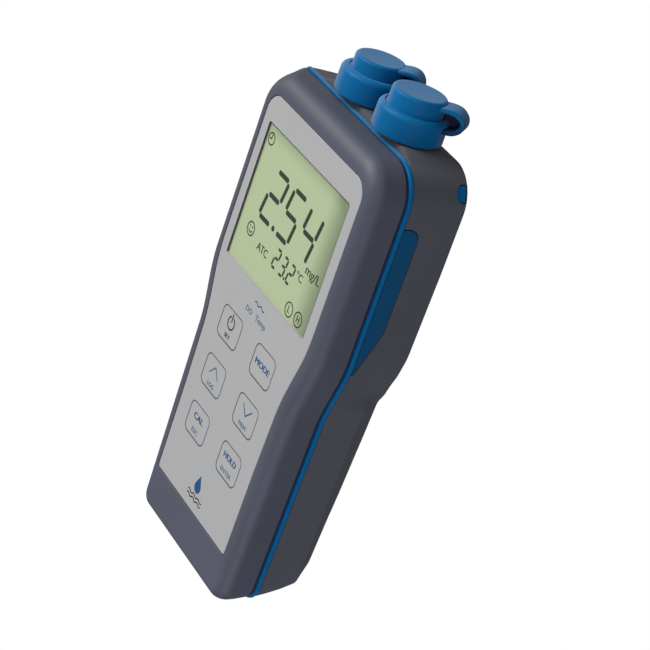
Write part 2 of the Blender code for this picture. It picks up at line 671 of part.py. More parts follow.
def caps():
    for side, word, top_radius in ((1, "right", 8.7), (-1, "left", 8.1)):
        x = side * SOCKET_X
        cap = turned("socket_cap_" + word, cap_profile(top_radius), (x, CAP_BASE, SOCKET_Z), BLUE_RUBBER)
        combine(cap, helper("cap_tab_" + word, tab_mesh(x)), "UNION")
        combine(cap, helper("cap_web_" + word, web_mesh(x)), "UNION")


def batteries():
    """Battery door, its seal and screws, three cells and their contacts."""
    outline = rounded_rectangle(-DOOR_HALF_WIDTH, DOOR_HALF_WIDTH, DOOR_LOW, DOOR_HIGH, 3.0)
    door = new_object("battery_door", prism_mesh(outline, 0.2, DOOR_INSIDE), BACK_PLASTIC)
    cuts = [rod_mesh(2.7, (x, s, -2.0), (x, s, 1.5)) for x, s in mirrored(DOOR_SCREWS)]
    combine(door, helper("door_screw_recesses", merged(cuts)))
    cuts = [rod_mesh(1.35, (x, s, -2.0), (x, s, 6.0), sides=16) for x, s in mirrored(DOOR_SCREWS)]
    combine(door, helper("door_screw_holes", merged(cuts)))
    outer = rounded_rectangle(-19.5, 19.5, BAY_LOW - 1.6, BAY_HIGH + 1.6, 2.0)
    inner = rounded_rectangle(-18.1, 18.1, BAY_LOW - 0.4, BAY_HIGH + 0.4, 0.8)
    new_object("door_seal", ring_mesh(outer, inner, DOOR_INSIDE + GAP, LEDGE - GAP), SILICONE)
    for number, (x, s) in enumerate(mirrored(DOOR_SCREWS), 1):
        new_object(f"door_screw_{number}", screw_mesh(x, s, 2.4, 1.0, 0.4, 1.2, 8.0), STEEL)
    centre = LEDGE + 0.6 + CELL_RADIUS
    low, high = BAY_LOW + 3.0, BAY_HIGH - 2.5
    cell = ((CELL_RADIUS, low), (CELL_RADIUS, high), (1.9, high), (1.9, high + 1.0))
    columns = (-CELL_PITCH, 0.0, CELL_PITCH)
    for number, x in enumerate(columns, 1):
        new_object(f"battery_cell_{number}", stepped_mesh(x, centre, cell), CELL_WRAP)
    low, high = centre - 4.0, centre + 4.0
    springs = new_object("battery_spring_plate", box_mesh(-16.0, 16.0, BAY_LOW + 0.3, BAY_LOW + 0.8, low, high), STEEL)
    cones = merged([rod_mesh(3.8, (x, BAY_LOW + 0.6, centre), (x, BAY_LOW + 2.7, centre), sides=16,
                             end_radius=2.2)
                    for x in columns])
    combine(springs, helper("battery_springs", cones), "UNION")
    new_object("battery_contact_plate", box_mesh(-16.0, 16.0, BAY_HIGH - 1.1, BAY_HIGH - 0.5, low, high), STEEL)


def stepped_mesh(x, z, steps, sides=16):
    """A solid of revolution along Y from (radius, s) steps."""
    return loft_mesh([[(x + r * math.cos(a), s, z + r * math.sin(a))
                       for a in (math.tau * i / sides for i in range(sides))] for r, s in steps])


def screw_mesh(x, s, head_radius, shank_radius, head_low, head_high, tip):
    """A screw that points up, with a plain round head below."""
    steps = ((head_radius, head_low), (head_radius, head_high), (shank_radius, head_high), (shank_radius, tip))
    return loft_mesh([[(x + r * math.cos(a), s + r * math.sin(a), z)
                       for a in (math.tau * i / 12 for i in range(12))] for r, z in steps])


def case_screws():
    for number, (x, s) in enumerate(mirrored(CASE_SCREWS), 1):
        new_object(f"case_screw_{number}", screw_mesh(x, s, 2.8, 1.25, 1.0, 3.2, 29.5), STEEL)


front_cover()
back_cover()
gasket()
grips_and_feet()
keypad_label()
display()
keys()
board()
sockets()
caps()
batteries()
case_screws()
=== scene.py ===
"""Looks of the handheld water quality meter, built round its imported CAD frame.

Design places are (x, s, z) in millimetres, as in the CAD source: x from the middle plane,
s from the tail end along the meter, z above the flat back. place() turns them into metres.
"""

import json
import math

import bmesh
import bpy
from mathutils import Matrix, Vector


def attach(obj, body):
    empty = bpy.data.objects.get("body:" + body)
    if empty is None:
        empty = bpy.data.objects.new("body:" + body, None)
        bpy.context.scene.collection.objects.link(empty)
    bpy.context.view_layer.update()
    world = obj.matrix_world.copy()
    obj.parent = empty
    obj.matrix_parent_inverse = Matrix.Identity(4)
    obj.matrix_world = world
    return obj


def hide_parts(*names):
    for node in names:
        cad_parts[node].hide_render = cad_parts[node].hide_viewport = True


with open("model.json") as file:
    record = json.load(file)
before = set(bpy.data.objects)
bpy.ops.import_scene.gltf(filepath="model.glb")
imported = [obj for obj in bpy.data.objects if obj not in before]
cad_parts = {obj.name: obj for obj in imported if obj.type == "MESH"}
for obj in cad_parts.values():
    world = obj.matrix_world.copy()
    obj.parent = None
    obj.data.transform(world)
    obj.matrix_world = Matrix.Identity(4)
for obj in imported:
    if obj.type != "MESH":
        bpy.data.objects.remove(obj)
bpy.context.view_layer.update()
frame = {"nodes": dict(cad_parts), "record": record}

MM = 0.001
TAIL_OFFSET = 87.95        # s of the row frame's origin

# Case outline and levels
UPPER_HALF_WIDTH = 39.1
WAIST_HALF_WIDTH = 34.4
TAIL_HALF_WIDTH = 32.3
WAIST_LOW, WAIST_HIGH = 68.0, 95.0
FRONT_TAIL = ((23.9, 0.3), (28.0, -0.6), (30.8, -0.9))      # z, s of the tail end
TAIL_EDGE_SHARE = 0.29     # how much less the front edge turns in at the tail
SHELL_END, BACK_END, SWELLING = 160.2, 160.3, 2.2
CORNER_RADIUS, TAIL_RADIUS, LEAST_RADIUS = 12.5, 6.3, 1.0
WALL = 2.4
THICKNESS = 36.0
FRONT_EDGE_RADIUS = 5.2
FRONT_RIM = 23.9
FRONT_INSIDE = 32.8
GASKET_LOW = 21.4
GASKET_PROUD = 0.35
RIM = 21.2
CHAMFER_TOP = 8.0
SLOPE_START, SLOPE_RUN = 75.0, 6.0      # along s, where the upright side wall starts to slope
BACK_INSIDE = 5.6
# s, half-width of the flat back
BACK_WIDTHS = ((0.0, 23.4), (12.0, 23.8), (30.0, 25.2), (40.0, 26.2), (66.0, 28.1), (76.5, 28.7),
               (79.5, 30.8), (85.0, 32.5), (88.5, 34.0), (96.0, 35.7), (128.0, 36.7), (170.0, 37.0))
# z, s of the back cover's tail end
TAIL_SLANT = ((0.0, 7.0), (1.0, 6.8), (4.0, 6.1), (8.0, 5.0), (12.0, 3.1), (15.0, 2.1), (18.0, 1.2),
              (21.2, 0.35))
# Across the socket end: its straight middle, where the swelling starts to fade, and where it has gone
SEAT_HALF_WIDTH, SWELLING_HALF_WIDTH, SWELLING_FADE = 22.0, 23.4, 31.0
# z, radius of the left corner at the socket end
LEFT_CORNER_RADII = ((0.0, 12.5), (12.0, 3.5), (20.0, 1.5), (24.0, 1.5), (28.0, 7.0), (33.0, 12.5))

# Label, window and display
LABEL_LOW, LABEL_HIGH = 35.0, 35.75
LABEL_TAIL, LABEL_END = 15.5, 153.0
# s, half-width
LABEL_HALF_WIDTHS = ((0.0, 26.7), (48.0, 27.4), (66.0, 28.1), (72.6, 28.4), (78.0, 29.4),
                     (84.5, 30.9), (91.0, 32.6), (98.0, 33.3), (160.0, 33.3))
LABEL_RADIUS, LABEL_TAIL_RADIUS = 6.3, 1.0
WINDOW_HALF_WIDTH = 28.9
WINDOW_LOW, WINDOW_HIGH = 96.4, 144.0
WINDOW_RADIUS = 0.8
WINDOW_LINING = 0.2
WINDOW_X = -0.4             # the window sits a little left of the middle plane
PANEL_LOW, PANEL_TOP = 32.4, 35.05

# Keys
KEY_COLUMN = 12.6
KEY_ROWS = (77.4, 59.2, 41.0)
KEY_SIZE = (13.7, 10.6)
KEY_RADIUS = 2.1
KEY_THICKNESS = 1.45
STEM_RADIUS, STEM_LOW = 2.2, 26.0
OUTLINE_WIDTH = 0.44       # dark line round each key
KEY_NAMES = (("key_power", "key_mode"), ("key_up", "key_down"), ("key_cal", "key_hold"))

# Sockets and caps
SOCKET_X, SOCKET_Z = 13.0, 14.1
SOCKET_BASE, CAP_BASE = 159.0, 162.8
SOCKET_HOLE = 6.7
CAP_RADIUS = 11.6
CAP_TOP_RADII = {"right": 9.0, "left": 8.4}
CAP_HEIGHTS = {"right": 14.2, "left": 13.3}
LOOP_SIZES = {"right": 1.0, "left": 0.85}
CAP_TAB_ANGLE = math.radians(44)

# Feet in the side wall
FOOT_RADIUS, FOOT_Z = 2.7, 1.7
FOOT_ANGLE = math.radians(31)      # round the corner, from +X

# Back
DOOR_HALF_WIDTH = 20.5
DOOR_LOW, DOOR_HIGH = 17.5, 81.5
DOOR_RADIUS = 3.0
GAP = 0.3                  # round the door, the grips and the feet
BELOW = -2.0               # where cuts in the back start
BAY_HALF_WIDTH = 17.4
BAY_LOW, BAY_HIGH = 25.2, 73.8
CASE_SCREWS = ((28.5, 150.0), (25.2, 87.5), (13.0, 13.0))
DOOR_SCREWS = ((16.0, 20.8), (16.0, 78.2))
# Radii of head and shank, then levels of the head's two faces and of the tip
CASE_SCREW_SIZES = (2.8, 1.25, 1.0, 3.2, 29.5)
DOOR_SCREW_SIZES = (2.4, 1.0, 0.4, 1.2, 8.0)
# Radii of the screws' posts and holes
CASE_POST, CASE_HEAD_HOLE, CASE_HOLE = 4.2, 3.1, 1.6
DOOR_POST, DOOR_HEAD_HOLE, DOOR_HOLE = 2.8, 2.7, 1.35
# s, z of the side grips' lower edge
GRIP_LOW_EDGE = ((91.0, 20.5), (95.0, 18.9), (99.0, 17.1), (103.0, 15.4), (106.5, 14.5),
                 (115.0, 14.5), (125.0, 14.5), (134.0, 14.5), (138.0, 14.5), (140.2, 15.2),
                 (141.5, 16.6), (142.0, 18.6))

INK_THICKNESS = 0.04
NOT_LEVEL = 0.004          # keeps the two copies of a bold letter from sharing a face


def place(x, s, z):
    """World position, in metres, of the design place (x, s, z)."""
    return Vector((x, s - TAIL_OFFSET, z)) * MM


# ---------------------------------------------------------------- materials

def node(tree, kind, **values):
    """A shader node with the given inputs set; an input is named with _ for a space."""
    made = tree.nodes.new(kind)
    for key, value in values.items():
        made.inputs[key.replace("_", " ")].default_value = value
    return made


def tinted(color, factor):
    return (color[0] * factor, color[1] * factor, color[2] * factor, 1.0)


def surface(color, roughness, grain=0.4, bump=0.01, tone=0.06, metallic=0.0, stretch=(1, 1, 1), gloss=0.5):
    """A moulded, coated or machined surface: fine grain in relief and roughness, and a slow drift of tone.

    grain is the texture's size and bump its depth, both in millimetres; gloss is how much it reflects.
    """
    look = bpy.data.materials.new("look")
    look.use_nodes = True
    tree = look.node_tree
    shader = tree.nodes["Principled BSDF"]
    shader.inputs["Metallic"].default_value = metallic
    shader.inputs["Specular IOR Level"].default_value = gloss
    link = tree.links.new
    where = tree.nodes.new("ShaderNodeTexCoord")
    mapping = node(tree, "ShaderNodeMapping", Scale=stretch)
    link(where.outputs["Object"], mapping.inputs["Vector"])
    fine = node(tree, "ShaderNodeTexNoise", Scale=1.0 / (grain * MM), Detail=3.0, Roughness=0.6)
    link(mapping.outputs["Vector"], fine.inputs["Vector"])
    raised = node(tree, "ShaderNodeBump", Strength=0.6, Distance=bump * MM)
    link(fine.outputs["Fac"], raised.inputs["Height"])
    link(raised.outputs["Normal"], shader.inputs["Normal"])
    slow = node(tree, "ShaderNodeTexNoise", Scale=70.0, Detail=2.0, Roughness=0.5)
    link(where.outputs["Object"], slow.inputs["Vector"])
    mix = tree.nodes.new("ShaderNodeMix")
    mix.data_type = "RGBA"
    mix.inputs[6].default_value = tinted(color, 1.0 - tone)
    mix.inputs[7].default_value = tinted(color, 1.0 + tone)
    link(slow.outputs["Fac"], mix.inputs[0])
    link(mix.outputs[2], shader.inputs["Base Color"])
    rough = node(tree, "ShaderNodeMapRange", From_Min=0.3, From_Max=0.7,
                 To_Min=roughness - 0.05, To_Max=roughness + 0.05)
    link(fine.outputs["Fac"], rough.inputs["Value"])
    link(rough.outputs["Result"], shader.inputs["Roughness"])
    return look


def mix_in(look, factor, color):
    """Mixes the base colour of a look towards another colour, by a factor from one of its nodes."""
    tree = look.node_tree
    target = tree.nodes["Principled BSDF"].inputs["Base Color"]
    base = target.links[0].from_socket
    mix = tree.nodes.new("ShaderNodeMix")
    mix.data_type = "RGBA"
    mix.inputs[7].default_value = tinted(color, 1.0)
    tree.links.new(factor, mix.inputs[0])
    tree.links.new(base, mix.inputs[6])
    tree.links.new(mix.outputs[2], target)


def object_axes(tree):
    """The outputs X, Y and Z of a point's place on its object."""
    where = tree.nodes.new("ShaderNodeTexCoord")
    axes = tree.nodes.new("ShaderNodeSeparateXYZ")
    tree.links.new(where.outputs["Object"], axes.inputs["Vector"])
    return axes.outputs


def rubber(color, pale):
    """Moulded rubber, with a painted sheen: its colour pales where it is seen at a low angle."""
    look = surface(color, 0.50, grain=0.6, bump=0.012, gloss=0.15)
    tree = look.node_tree
    # Painted sheen: the base colour is mixed towards the second, paler colour at low angles, standing in for
    # reflection.
    angle = node(tree, "ShaderNodeLayerWeight", Blend=0.5)
    painted_sheen = node(tree, "ShaderNodeMapRange", From_Min=0.35, From_Max=1.0, To_Max=0.45)
    painted_sheen.interpolation_type = "SMOOTHSTEP"
    tree.links.new(angle.outputs["Facing"], painted_sheen.inputs["Value"])
    mix_in(look, painted_sheen.outputs["Result"], pale)
    return look


def loop_rubber():
    """Rubber of the caps' pull loops, which fall into shade below their upper strap."""
    look = rubber((0.0, 0.125, 0.320), (0.30, 0.37, 0.45))
    tree = look.node_tree
    shade = node(tree, "ShaderNodeMapRange", From_Min=place(0.0, CAP_BASE + 11.8, 0.0).y,
                 From_Max=place(0.0, CAP_BASE + 7.5, 0.0).y, To_Max=0.88)
    tree.links.new(object_axes(tree)["Y"], shade.inputs["Value"])
    mix_in(look, shade.outputs["Result"], (0.001, 0.020, 0.065))
    return look


def ink(color, gloss=0.5):
    return surface(color, 0.5, grain=0.25, bump=0.003, tone=0.08, gloss=gloss)


def display_green():
    """Reflective display: pale green, shaded by its recess along the right and socket-end edges."""
    look = surface((0.436, 0.520, 0.296), 0.45, grain=0.5, bump=0.002, tone=0.02)
    tree = look.node_tree
    axes = object_axes(tree)
    corner_place = place(WINDOW_X + WINDOW_HALF_WIDTH, WINDOW_HIGH, 0.0)
    fades = []
    for axis, edge, depth in (("X", corner_place.x, 13.0), ("Y", corner_place.y, 6.0)):
        fade = node(tree, "ShaderNodeMapRange", From_Min=edge - depth * MM, From_Max=edge)
        fade.interpolation_type = "SMOOTHSTEP"
        tree.links.new(axes[axis], fade.inputs["Value"])
        fades.append(fade.outputs["Result"])
    both = tree.nodes.new("ShaderNodeMath")
    both.operation = "MULTIPLY_ADD"
    both.inputs[1].default_value = 0.45     # how much the shade along the socket end counts
    tree.links.new(fades[1], both.inputs[0])
    tree.links.new(fades[0], both.inputs[2])
    limit = node(tree, "ShaderNodeMapRange", To_Max=0.75)
    tree.links.new(both.outputs["Value"], limit.inputs["Value"])
    mix_in(look, limit.outputs["Result"], (0.110, 0.155, 0.075))
    return look


def clear_window():
    """Thin clear window: mostly see-through, with a faint gloss."""
    look = surface((0.80, 0.86, 0.78), 0.08, grain=3.0, bump=0.002, tone=0.02)
    shader = look.node_tree.nodes["Principled BSDF"]
    shader.inputs["Alpha"].default_value = 0.02
    shader.inputs["IOR"].default_value = 1.45
    return look


LOOKS = {
    "front_plastic": surface((0.081, 0.086, 0.116), 0.52, grain=0.45, bump=0.012, gloss=0.4),
    "back_plastic": surface((0.096, 0.099, 0.117), 0.50, grain=0.5, bump=0.016, gloss=0.3),
    "blue_rubber": rubber((0.0, 0.138, 0.350), (0.35, 0.42, 0.50)),
    "loop_rubber": loop_rubber(),
    # Painted shade: the grips are the caps' blue rubber given a darker colour, standing in for the shade on
    # the side walls.
    "grip_rubber": rubber((0.004, 0.082, 0.192), (0.12, 0.20, 0.30)),
    # Painted shade: a near-black blue for the seal's set-back lip and the loops' webs, where shade falls.
    "painted_shade_rubber": surface((0.001, 0.016, 0.055), 0.6),
    "label_grey": surface((0.405, 0.405, 0.400), 0.55, grain=0.3, bump=0.008, tone=0.02),
    "lcd_green": display_green(),
    "clear_window": clear_window(),
    "white_plastic": surface((0.72, 0.72, 0.69), 0.5),
    "board_green": surface((0.02, 0.15, 0.06), 0.4, grain=1.2, bump=0.02, tone=0.25),
    "dark_plastic": surface((0.020, 0.020, 0.022), 0.45),
    "nickel": surface((0.62, 0.61, 0.58), 0.24, grain=0.2, bump=0.004, metallic=1.0, stretch=(1, 8, 1)),
    "steel": surface((0.55, 0.55, 0.56), 0.30, grain=0.2, bump=0.005, metallic=1.0, stretch=(6, 1, 6)),
    "silicone": surface((0.30, 0.31, 0.32), 0.6),
    "cell_wrap": surface((0.09, 0.10, 0.11), 0.33, grain=2.0, bump=0.006, tone=0.15),
    "blue_ink": ink((0.014, 0.085, 0.215), gloss=0.2),
    "teal_ink": ink((0.045, 0.150, 0.225), gloss=0.2),
    "black_ink": ink((0.020, 0.022, 0.026), gloss=0.2),
    "outline_ink": ink((0.075, 0.090, 0.100)),
    "segment_ink": ink((0.013, 0.024, 0.007), gloss=0.1),
}
for look_name, made_look in LOOKS.items():
    made_look.name = look_name


# ---------------------------------------------------------------- mesh helpers

def facing_out(bm):
    """Turns the faces of one closed solid outwards."""
    bmesh.ops.recalc_face_normals(bm, faces=bm.faces)
    if bm.calc_volume(signed=True) < 0.0:
        bmesh.ops.reverse_faces(bm, faces=bm.faces)
    return bm


def loft(rings, closed=False):
    """Faces between rings of points (x, s, z), capped at the end rings unless the loft closes on itself."""
    bm = bmesh.new()
    made = [[bm.verts.new(place(*point)) for point in ring] for ring in rings]
    pairs = list(zip(made, made[1:]))
    if closed:
        pairs.append((made[-1], made[0]))
    for low, high in pairs:
        for i in range(len(low)):
            j = (i + 1) % len(low)
            bm.faces.new((low[i], low[j], high[j], high[i]))
    if not closed:
        bm.faces.new(reversed(made[0]))
        bm.faces.new(made[-1])
    return facing_out(bm)


def at_level(outline, z):
    return [(x, s, z) for x, s in outline]


def prism(outline, low, high):
    return loft([at_level(outline, z) for z in (low, high)])


def band(outer, inner, low, high):
    """The band between two outlines with the same number of points."""
    levels = ((outer, low), (outer, high), (inner, high), (inner, low))
    return loft([at_level(outline, z) for outline, z in levels], closed=True)


def box(x_low, x_high, s_low, s_high, z_low, z_high):
    outline = ((x_low, s_low), (x_high, s_low), (x_high, s_high), (x_low, s_high))
    return prism(outline, z_low, z_high)


def disc(x, s, radius, sides):
    turn = [math.tau * i / sides for i in range(sides)]
    return [(x + radius * math.cos(a), s + radius * math.sin(a)) for a in turn]


def rod(radius, start, end, sides=32):
    """A cylinder between two places (x, s, z)."""
    bm = bmesh.new()
    low, high = place(*start), place(*end)
    run = high - low
    bmesh.ops.create_cone(bm, cap_ends=True, segments=sides, radius1=radius * MM, radius2=radius * MM,
                          depth=run.length)
    turn = run.to_track_quat("Z", "Y").to_matrix().to_4x4()
    bm.transform(Matrix.Translation((low + high) / 2) @ turn)
    return facing_out(bm)


def merged(meshes):
    """One mesh holding several separate solids."""
    whole = bmesh.new()
    for bm in meshes:
        passing = bpy.data.meshes.new("passing")
        bm.to_mesh(passing)
        bm.free()
        whole.from_mesh(passing)
        bpy.data.meshes.remove(passing)
    return whole


def turned(x, base, profile):
    """A solid of revolution about the socket axis at x; its profile of (radius, height) runs axis to axis."""
    rings = []
    for radius, height in profile:
        rings.append([(px, base + height, pz) for px, pz in disc(x, SOCKET_Z, radius, 96)])
    return loft(rings)


def object_from(name, bm):
    mesh = bpy.data.meshes.new(name)
    bm.to_mesh(mesh)
    bm.free()
    made = bpy.data.objects.new(name, mesh)
    bpy.context.scene.collection.objects.link(made)
    return made


def combined(bm, steps):
    """bm with each (operation, cutter) of steps applied by an exact Boolean."""
    base = object_from("shape", bm)
    others = []
    for operation, cutter in steps:
        other = object_from("cutter", cutter)
        modifier = base.modifiers.new("step", "BOOLEAN")
        modifier.operation = operation
        modifier.object = other
        others.append(other)
    bpy.context.view_layer.update()
    evaluated = base.evaluated_get(bpy.context.evaluated_depsgraph_get())
    result = bmesh.new()
    result.from_mesh(evaluated.data)
    for used in [base, *others]:
        mesh = used.data
        bpy.data.objects.remove(used)
        bpy.data.meshes.remove(mesh)
    return result


def piece(name, bm, look, body="case", nodes=(), crease=32.0):
    """A shown piece with a named look, which rides on a body and may stand for CAD nodes."""
    made = object_from(name, bm)
    made.data.shade_smooth()
    made.data.set_sharp_from_angle(angle=math.radians(crease))
    made.data.materials.clear()
    made.data.materials.append(LOOKS[look])
    weighted = made.modifiers.new("normals", "WEIGHTED_NORMAL")
    weighted.keep_sharp = True
    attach(made, body)
    if nodes:
        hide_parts(*nodes)
    return made


# ---------------------------------------------------------------- outlines

def smooth_step(value):
    t = min(max(value, 0.0), 1.0)
    return t * t * (3.0 - 2.0 * t)


def along(knots, s):
    """Reads a (position, value) list at s, in straight runs."""
    for (s0, v0), (s1, v1) in zip(knots, knots[1:]):
        if s <= s1:
            return v0 + (v1 - v0) * max(s - s0, 0.0) / (s1 - s0)
    return knots[-1][1]


def softly_along(knots, s, reach=3.0):
    """The same, with the corners between the runs rounded off."""
    return sum(along(knots, s + reach * k / 4.0) for k in range(-4, 5)) / 9.0


def front_half_width(s):
    lower = TAIL_HALF_WIDTH + (WAIST_HALF_WIDTH - TAIL_HALF_WIDTH) * min(s / WAIST_LOW, 1.0)
    return lower + (UPPER_HALF_WIDTH - lower) * smooth_step((s - WAIST_LOW) / (WAIST_HIGH - WAIST_LOW))


def chamfer_half_width(s):
    """Half-width at CHAMFER_TOP: nearly upright below the waist, sloping to the back above it."""
    front = front_half_width(s)
    slope = (front - softly_along(BACK_WIDTHS, s, 1.2)) * (RIM - CHAMFER_TOP) / RIM
    upright = 0.8
    return front - (upright + (slope - upright) * smooth_step((s - SLOPE_START) / SLOPE_RUN))


def back_cover_half_width(s, z):
    if z >= CHAMFER_TOP:
        t = (RIM - z) / (RIM - CHAMFER_TOP)
        return front_half_width(s) * (1 - t) + chamfer_half_width(s) * t
    t = z / CHAMFER_TOP
    return softly_along(BACK_WIDTHS, s, 1.2) * (1 - t) + chamfer_half_width(s) * t


TAIL_STEPS, SIDE_STEPS, CORNER_STEPS, END_STEPS = 10, 84, 18, 10


def outline_from(right, left):
    """A closed outline from its right half and the mirror image of its left half, both tail first."""
    return right + [(-x, s) for x, s in reversed(left)]


def corner(x, s, radius, start, steps):
    """Points of a quarter circle about (x, s), from the angle start in quarter turns."""
    turn = [math.pi / 2 * (start + i / steps) for i in range(steps + 1)]
    return [(x + radius * math.cos(a), s + radius * math.sin(a)) for a in turn]


def end_line(x, s):
    """Points along a socket end from x, where a corner ends, towards the middle."""
    return [(x + (SEAT_HALF_WIDTH - x) * i / END_STEPS, s) for i in range(1, END_STEPS + 1)]


def half_outline(half_width, end, tail, inset, swelling, radius):
    """Right-hand half of the meter's outline, tail first; the swelling lifts the middle of the socket end."""
    end_radius = max(radius - inset, LEAST_RADIUS)
    tail_radius = max(TAIL_RADIUS - inset, LEAST_RADIUS)
    end_s = end - inset - end_radius
    end_x = half_width(end_s) - inset - end_radius
    tail_s = tail + inset + tail_radius
    half = corner(half_width(tail_s) - inset - tail_radius, tail_s, tail_radius, -1, TAIL_STEPS)
    for i in range(1, SIDE_STEPS):
        s = tail_s + (end_s - tail_s) * i / SIDE_STEPS
        half.append((half_width(s) - inset, s))
    for x, s in corner(end_x, end_s, end_radius, 0, CORNER_STEPS) + end_line(end_x, end - inset):
        fade = 1.0 - smooth_step((x - SWELLING_HALF_WIDTH) / (SWELLING_FADE - SWELLING_HALF_WIDTH))
        half.append((x, s + swelling * fade))
    return half


def body_outline(half_width, z, end, tail, inset, swelling=0.0):
    """Outline of the meter at level z; its left socket end corner tightens towards the parting line."""
    right = half_outline(half_width, end, tail, inset, swelling, CORNER_RADIUS)
    left = half_outline(half_width, end, tail, inset, swelling, softly_along(LEFT_CORNER_RADII, z, 2.0))
    return outline_from(right, left)


def label_outline(grow=0.0):
    """Outline of the label, with as many points as a body outline."""
    radius, small = LABEL_RADIUS + grow, LABEL_TAIL_RADIUS + max(grow, 0.0)
    tail_s = LABEL_TAIL - grow + small
    end_s = LABEL_END + grow - radius

    def half(s):
        return softly_along(LABEL_HALF_WIDTHS, s) + grow

    right = corner(half(tail_s) - small, tail_s, small, -1, TAIL_STEPS)
    for i in range(1, SIDE_STEPS):
        s = tail_s + (end_s - tail_s) * i / SIDE_STEPS
        right.append((half(s), s))
    right += corner(half(end_s) - radius, end_s, radius, 0, CORNER_STEPS)
    right += end_line(half(end_s) - radius, end_s + radius)
    return outline_from(right, right)


def rounded_rectangle(x_low, x_high, s_low, s_high, radius, steps=8):
    centres = ((x_high - radius, s_high - radius), (x_low + radius, s_high - radius),
               (x_low + radius, s_low + radius), (x_high - radius, s_low + radius))
    points = []
    for quarter, (x, s) in enumerate(centres):
        points += corner(x, s, radius, quarter, steps)
    return points


def window_outline(grow):
    reach = WINDOW_HALF_WIDTH + grow
    return rounded_rectangle(WINDOW_X - reach, WINDOW_X + reach, WINDOW_LOW - grow, WINDOW_HIGH + grow,
                             WINDOW_RADIUS, 4)


def key_outline(x, s, grow=0.0):
    width, height = KEY_SIZE
    return rounded_rectangle(x - width / 2 - grow, x + width / 2 + grow,
                             s - height / 2 - grow, s + height / 2 + grow, KEY_RADIUS + grow)


def key_places():
    for row, names in zip(KEY_ROWS, KEY_NAMES):
        for x, name in zip((-KEY_COLUMN, KEY_COLUMN), names):
            yield name, x, row


def mirrored(places):
    return [(side * x, s) for x, s in places for side in (1, -1)]


# ---------------------------------------------------------------- case

def front_ring(z, inset, tail_shift=0.0):
    tail = along(FRONT_TAIL, z) + tail_shift
    return at_level(body_outline(front_half_width, z, SHELL_END, tail, inset), z)


def front_cover():
    """Upper half of the case, with a rounded front edge and a pocket that holds the label."""
    radius = FRONT_EDGE_RADIUS
    rings = [front_ring(FRONT_RIM, 0.3)]
    rings += [front_ring(FRONT_RIM + z, 0.0) for z in (0.3, 1.2, 2.1, 3.0, 4.0, 5.0, 6.0)]
    for i in range(17):
        angle = math.pi / 2 * i / 16
        inset = radius * (1 - math.cos(angle))
        rings.append(front_ring(THICKNESS - radius * (1 - math.sin(angle)), inset, -TAIL_EDGE_SHARE * inset))
    ledge, floor = -2.9, LABEL_LOW - 0.3      # under the label
    for grow, z in ((0.55, THICKNESS), (0.35, THICKNESS - 0.06), (0.25, THICKNESS - 0.2), (0.25, floor),
                    (ledge, floor), (ledge, FRONT_INSIDE)):
        rings.append(at_level(label_outline(grow), z))
    rings += [front_ring(z, WALL) for z in (FRONT_INSIDE, 30.0, 28.0, 26.0, FRONT_RIM)]
    piece("front_shell", loft(rings, closed=True), "front_plastic", nodes=["front_cover"])


def back_ring(z, inset, end, swelling=0.0):
    tail = softly_along(TAIL_SLANT, z, 1.0)
    outline = body_outline(lambda s: back_cover_half_width(s, z), z, end, tail, inset, swelling)
    return at_level(outline, z)


# The back cover's levels z: its rounded edge, then how its socket end swells out and in again
BACK_EDGE = ((0.0, 0.9, 0.0), (0.12, 0.45, 0.0), (0.45, 0.12, 0.1))                # z, inset, swelling
SWELLING_RISE = ((1.0, 0.3), (2.0, 0.85), (3.0, 1.35), (4.0, 1.75), (6.0, 2.1))    # z, swelling
FULL_SWELLING = (7.6, CHAMFER_TOP, 8.4, 10.0, 12.0, 13.5, 15.0, 16.5, 18.0, 19.3)
SWELLING_TOP = ((20.0, 0.05), (20.5, 0.1))                                         # z, loss of swelling


def back_surface():
    """Rings of the back cover's outside, from the back to the rim."""
    rings = [back_ring(z, inset, BACK_END, swelling) for z, inset, swelling in BACK_EDGE]
    rings += [back_ring(z, 0.0, BACK_END, swelling) for z, swelling in SWELLING_RISE]
    rings += [back_ring(z, 0.0, BACK_END, SWELLING) for z in FULL_SWELLING]
    rings += [back_ring(z, 0.0, BACK_END, SWELLING - lost) for z, lost in SWELLING_TOP]
    rings.append(back_ring(21.05, 0.0, BACK_END - 0.02, SWELLING - 0.25))
    rings.append(back_ring(RIM, 0.0, SHELL_END, SWELLING - 1.3))
    return rings


def grip_rings(side, margin, sections):
    """Rings of a side grip, longer by a margin at both ends.

    A section is (at the top edge or not, rise from that edge, distance out of the wall).
    """
    rings = []
    shifts = [-margin] + [0.0] * (len(GRIP_LOW_EDGE) - 2) + [margin]
    for shift, (s, z_low) in zip(shifts, GRIP_LOW_EDGE):
        ring = []
        for top, rise, out in sections:
            z = (RIM - 0.1 if top else z_low) + rise
            ring.append((side * (back_cover_half_width(s, min(z, RIM)) + out), s + shift, z))
        rings.append(ring)
    return rings


def foot_disc(side, radius, inner, outer, floor):
    """A disc in the side wall at a socket end corner, cut flat at the floor level."""
    centre_x = along(BACK_WIDTHS, 150.0) - CORNER_RADIUS
    centre_s = BACK_END - CORNER_RADIUS
    ends = []
    for distance in (inner, outer):
        reach = CORNER_RADIUS + distance
        ends.append((side * (centre_x + reach * math.cos(FOOT_ANGLE)),
                     centre_s + reach * math.sin(FOOT_ANGLE), FOOT_Z))
    disc_mesh = rod(radius, *ends, sides=48)
    for vertex in disc_mesh.verts:
        vertex.co.z = max(vertex.co.z, floor * MM)
    return disc_mesh


def posts(places, radius, low, high):
    """Upright rods at screw places and their mirror images."""
    return [rod(radius, (x, s, low), (x, s, high)) for x, s in mirrored(places)]


def door_outline(inset):
    return rounded_rectangle(-DOOR_HALF_WIDTH + inset, DOOR_HALF_WIDTH - inset, DOOR_LOW + inset,
                             DOOR_HIGH - inset, DOOR_RADIUS - inset)


